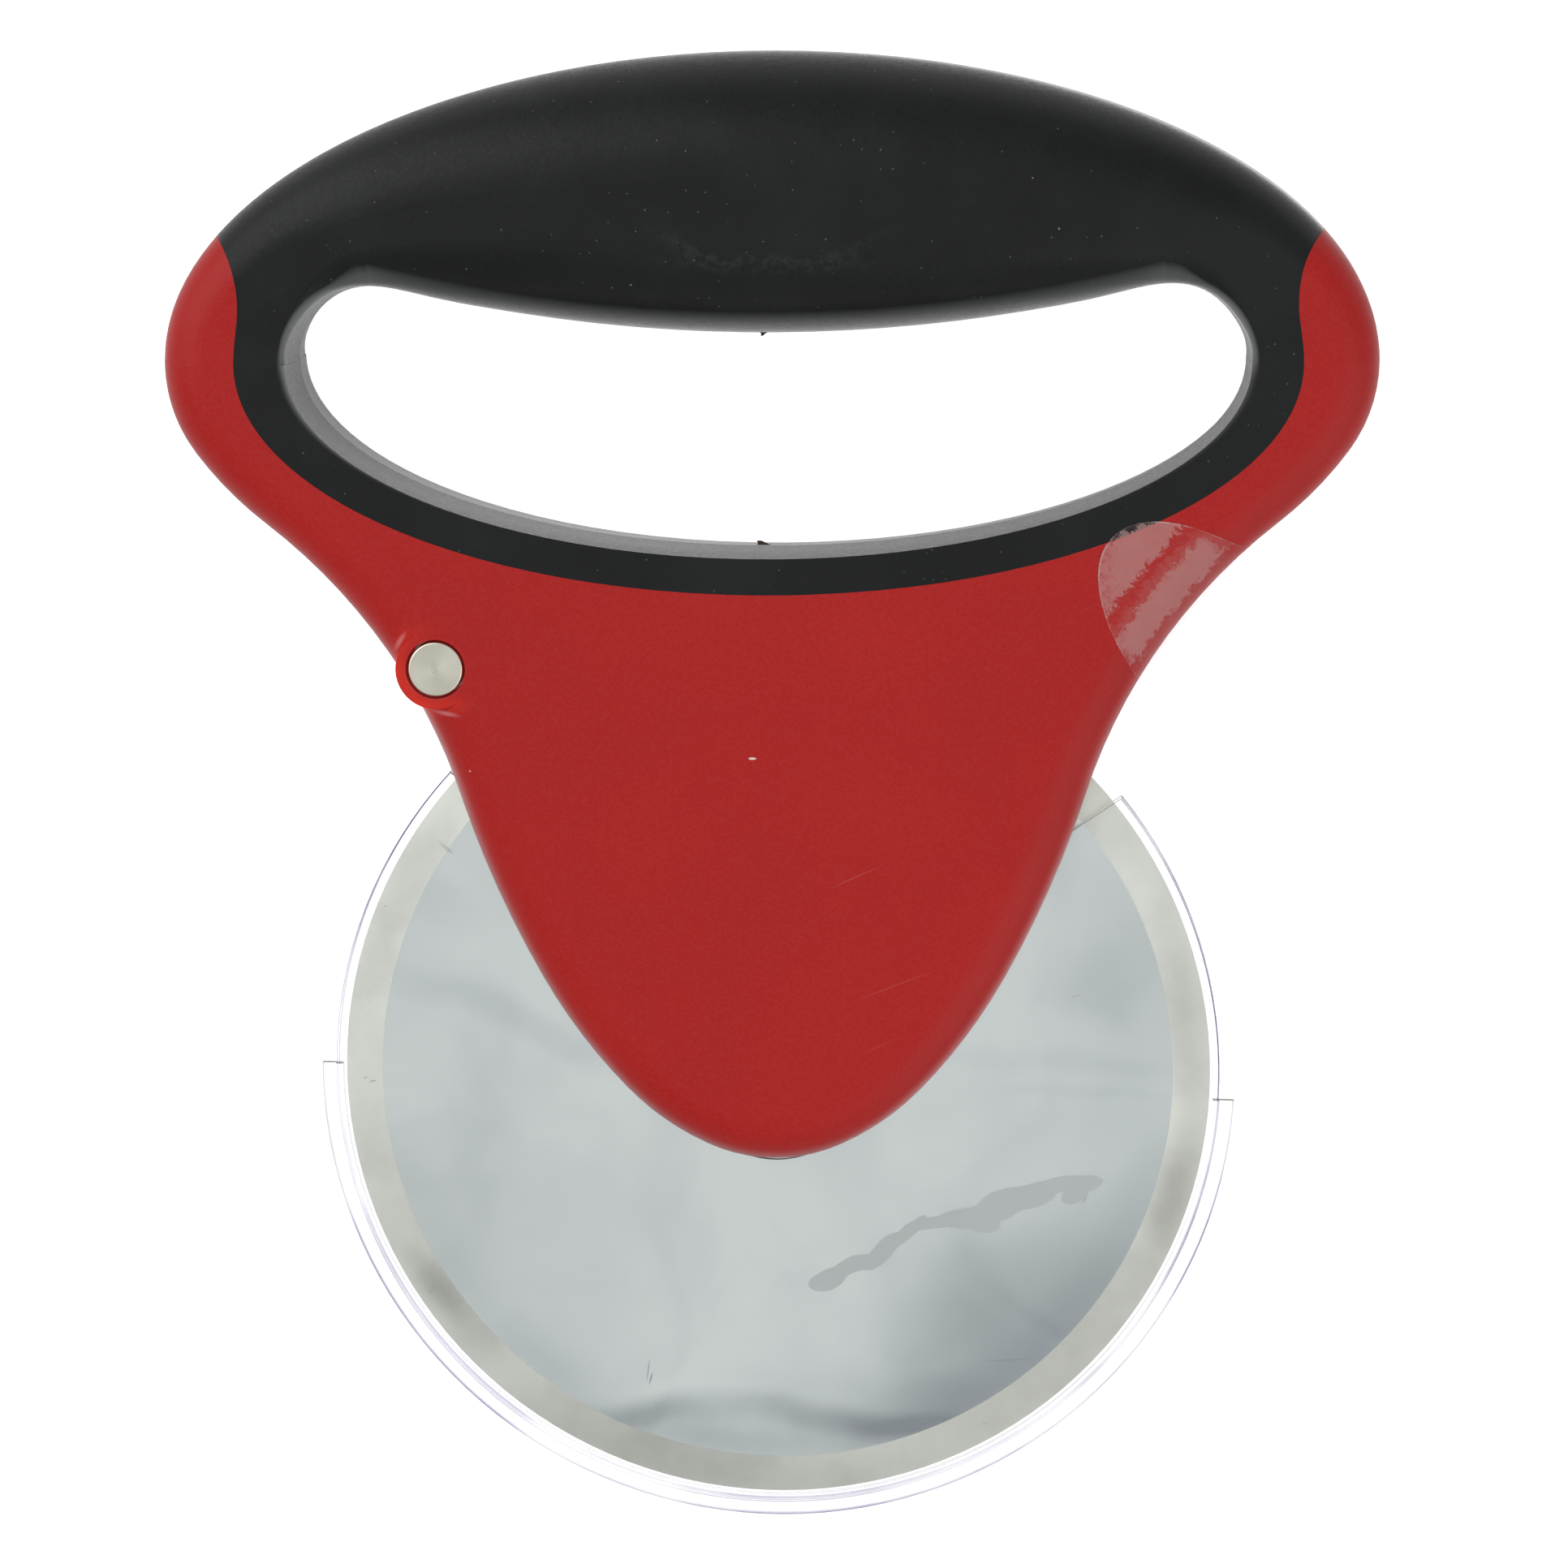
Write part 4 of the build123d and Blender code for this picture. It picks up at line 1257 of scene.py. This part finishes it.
@dataclass(frozen=True)
class GateNibs:
    """Torn moulding nibs on the walls of the finger hole."""

    lower: Nib = Nib(
        "nib_lower", (-0.00105, 0.02905, 0.01070), (0.0019, 0.0009), 0.00062, -0.00062, 1.0
    )
    upper: Nib = Nib(
        "nib_upper", (-0.00080, 0.05405, 0.01240), (0.0008, 0.0006), 0.00042, -0.00022, -1.0
    )
    sides: int = 14
    smooth_angle: float = 25.0
    # As shares of the height: the root, and each step of the tip with its shrink and its lean
    root: float = 0.35
    steps: Tuple[Spot, ...] = ((0.35, 0.62, 0.35), (0.45, 0.45, 0.65))
    # As shares of the foot's width: the root's shoulder and the torn roughness
    shoulder: float = 0.12
    torn: float = 0.06
    roundness: float = 0.4
    seed: int = 3

    def build(self) -> None:
        """Build every nib."""
        material = TORN_NIB.build()
        for nib in (self.lower, self.upper):
            self._nib(nib, material)

    def _nib(self, nib: Nib, material: Material) -> None:
        """Build one nib: a ragged stub with a leaning torn tip.

        Args:
            nib: The nib's sizes.
            material: The nib's material.
        """
        upright = 0.9
        width = nib.size[1]
        bpy.ops.object.select_all(action="DESELECT")
        bpy.ops.mesh.primitive_cylinder_add(
            vertices=self.sides,
            radius=0.5,
            depth=1.0,
            location=(0.0, 0.0, 0.0),
            rotation=(math.radians(90.0), 0.0, 0.0),
        )
        piece = bpy.context.active_object
        piece.name = nib.name
        bpy.ops.object.transform_apply(location=True, rotation=True, scale=True)
        bpy.ops.object.mode_set(mode="EDIT")
        bpy.ops.mesh.select_all(action="SELECT")
        bpy.ops.transform.resize(value=(nib.size[0], self.root * nib.height, width))
        bpy.ops.transform.translate(value=nib.foot)
        bpy.ops.mesh.select_all(action="DESELECT")
        bpy.ops.object.mode_set(mode="OBJECT")
        for face in piece.data.polygons:
            face.select = face.normal.y * nib.way > upright
        bpy.ops.object.mode_set(mode="EDIT")
        bpy.ops.mesh.select_mode(type="FACE")
        bpy.ops.mesh.inset(thickness=self.shoulder * width, depth=0.0)
        for rise, shrink, lean in self.steps:
            move = (nib.lean * lean, nib.way * nib.height * rise, 0.0)
            bpy.ops.mesh.extrude_region_move(TRANSFORM_OT_translate={"value": move})
            bpy.ops.transform.resize(value=(shrink, 1.0, shrink))
        bpy.ops.mesh.select_all(action="SELECT")
        bpy.ops.mesh.subdivide(number_cuts=2, smoothness=self.roundness)
        bpy.ops.transform.vertex_random(
            offset=self.torn * width, uniform=1.0, normal=0.0, seed=self.seed
        )
        bpy.ops.mesh.normals_make_consistent(inside=False)
        bpy.ops.object.mode_set(mode="OBJECT")
        bpy.ops.object.shade_smooth_by_angle(angle=math.radians(self.smooth_angle))
        piece.data.materials.append(material)
        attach(piece, "handle")
        LOG.info("built %s with %s faces", nib.name, len(piece.data.polygons))


@dataclass(frozen=True)
class Lamp:
    """One square lamp that faces the tool: its name, place, side and power in watts."""

    name: str
    place: Spot
    side: float
    power: float

    def build(self) -> None:
        """Build the lamp."""
        light = bpy.data.lights.new(self.name, "AREA")
        light.shape = "SQUARE"
        light.size = self.side
        light.energy = self.power
        lamp = bpy.data.objects.new(self.name, light)
        bpy.context.scene.collection.objects.link(lamp)
        lamp.location = self.place
        lamp.rotation_euler = (-Vector(self.place)).to_track_quat("-Z", "Y").to_euler()


@dataclass(frozen=True)
class Stage:
    """Floor, world and lamps round the tool."""

    floor_half: float = 3.0
    floor_colour: Colour = (0.4, 0.4, 0.4)
    floor_rough: float = 0.9
    # What the camera sees of the floor, and the share of it that gloss mirrors
    floor_shown: float = 0.93
    floor_mirrored: float = 0.8
    # The world by height: its base, and what it adds overhead and low down
    world_base: float = 0.45
    overhead: Ramp = (0.86, 0.96, 0.0, 0.33)
    low: Ramp = (0.02, 0.3, 0.55, 0.0)
    lamps: Tuple[Lamp, ...] = (
        Lamp("lamp_upper_left", (-0.75, 0.55, 0.75), 1.2, 9.5),
        Lamp("lamp_lower_right", (0.75, -0.45, 0.7), 1.2, 5.5),
    )

    def build(self) -> None:
        """Build the floor, the world and the lamps."""
        self._floor()
        self._world()
        for lamp in self.lamps:
            lamp.build()

    def _floor(self) -> None:
        """Build the pale floor that the tool lies on."""
        bpy.ops.object.select_all(action="DESELECT")
        bpy.ops.mesh.primitive_plane_add(size=2.0 * self.floor_half, location=(0.0, 0.0, 0.0))
        floor = bpy.context.active_object
        floor.name = "floor"
        material = bpy.data.materials.new("floor")
        material.use_nodes = True
        shader = Shader(material.node_tree)
        principled = material.node_tree.nodes["Principled BSDF"]
        shader.fill(principled, Base_Color=self.floor_colour, Roughness=self.floor_rough)
        shader.fill(principled, Specular_IOR_Level=0.0)
        path = shader.light_path()
        seen = shader.most(path["Is Camera Ray"], path["Is Transmission Ray"])
        seen = shader.most(seen, shader.times(path["Is Glossy Ray"], self.floor_mirrored))
        glow = shader.add("ShaderNodeEmission", WHITE, shader.times(seen, self.floor_shown))
        both = shader.add("ShaderNodeAddShader", principled.outputs[0], glow.outputs[0])
        shader.put(both.outputs[0], material.node_tree.nodes["Material Output"].inputs[0])
        floor.data.materials.append(material)

    def _world(self) -> None:
        """Build the soft white surroundings: bright overhead and low down, dimmer between."""
        world = bpy.data.worlds.new("studio")
        bpy.context.scene.world = world
        world.use_nodes = True
        shader = Shader(world.node_tree)
        _, _, z = shader.axes(shader.add("ShaderNodeTexCoord").outputs["Generated"])
        around = shader.plus(shader.remap(z, *self.overhead), shader.remap(z, *self.low))
        around = shader.plus(around, self.world_base)
        strength = shader.most(around, shader.light_path()["Is Camera Ray"])
        shader.fill(world.node_tree.nodes["Background"], Color=WHITE, Strength=strength)


@dataclass(frozen=True)
class StudioCamera:
    """The photograph's camera, worked out from the outlines that it shows."""

    aim: Spot = (0.00113, 0.00132, 0.0124)
    towards: Spot = (0.0663, 0.1479, 0.9868)
    up: Spot = (0.0080, 0.99997, 0.0)
    distance: float = 0.7048
    lens: float = 138.7
    sensor: float = 36.0
    clip: Pair = (0.01, 20.0)

    def build(self) -> None:
        """Build the camera and make it the scene's own."""
        back = Vector(self.towards).normalized()
        up = Vector(self.up)
        up = (up - back * up.dot(back)).normalized()
        right = up.cross(back)
        data = bpy.data.cameras.new("camera")
        data.lens = self.lens
        data.sensor_fit = "HORIZONTAL"
        data.sensor_width = self.sensor
        data.clip_start, data.clip_end = self.clip
        camera = bpy.data.objects.new("camera", data)
        bpy.context.scene.collection.objects.link(camera)
        turn = Matrix((right, up, back)).transposed().to_4x4()
        camera.matrix_world = Matrix.Translation(Vector(self.aim) + back * self.distance) @ turn
        bpy.context.scene.camera = camera
        bpy.context.scene.view_settings.view_transform = "Standard"


def main() -> None:
    """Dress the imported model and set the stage."""
    logging.basicConfig(level=logging.INFO, format="%(message)s")
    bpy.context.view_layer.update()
    SharedEffects().build()
    Dressing().dress()
    ClosingSeal().build()
    GateNibs().build()
    Stage().build()
    StudioCamera().build()


if __name__ == "__main__":
    main()
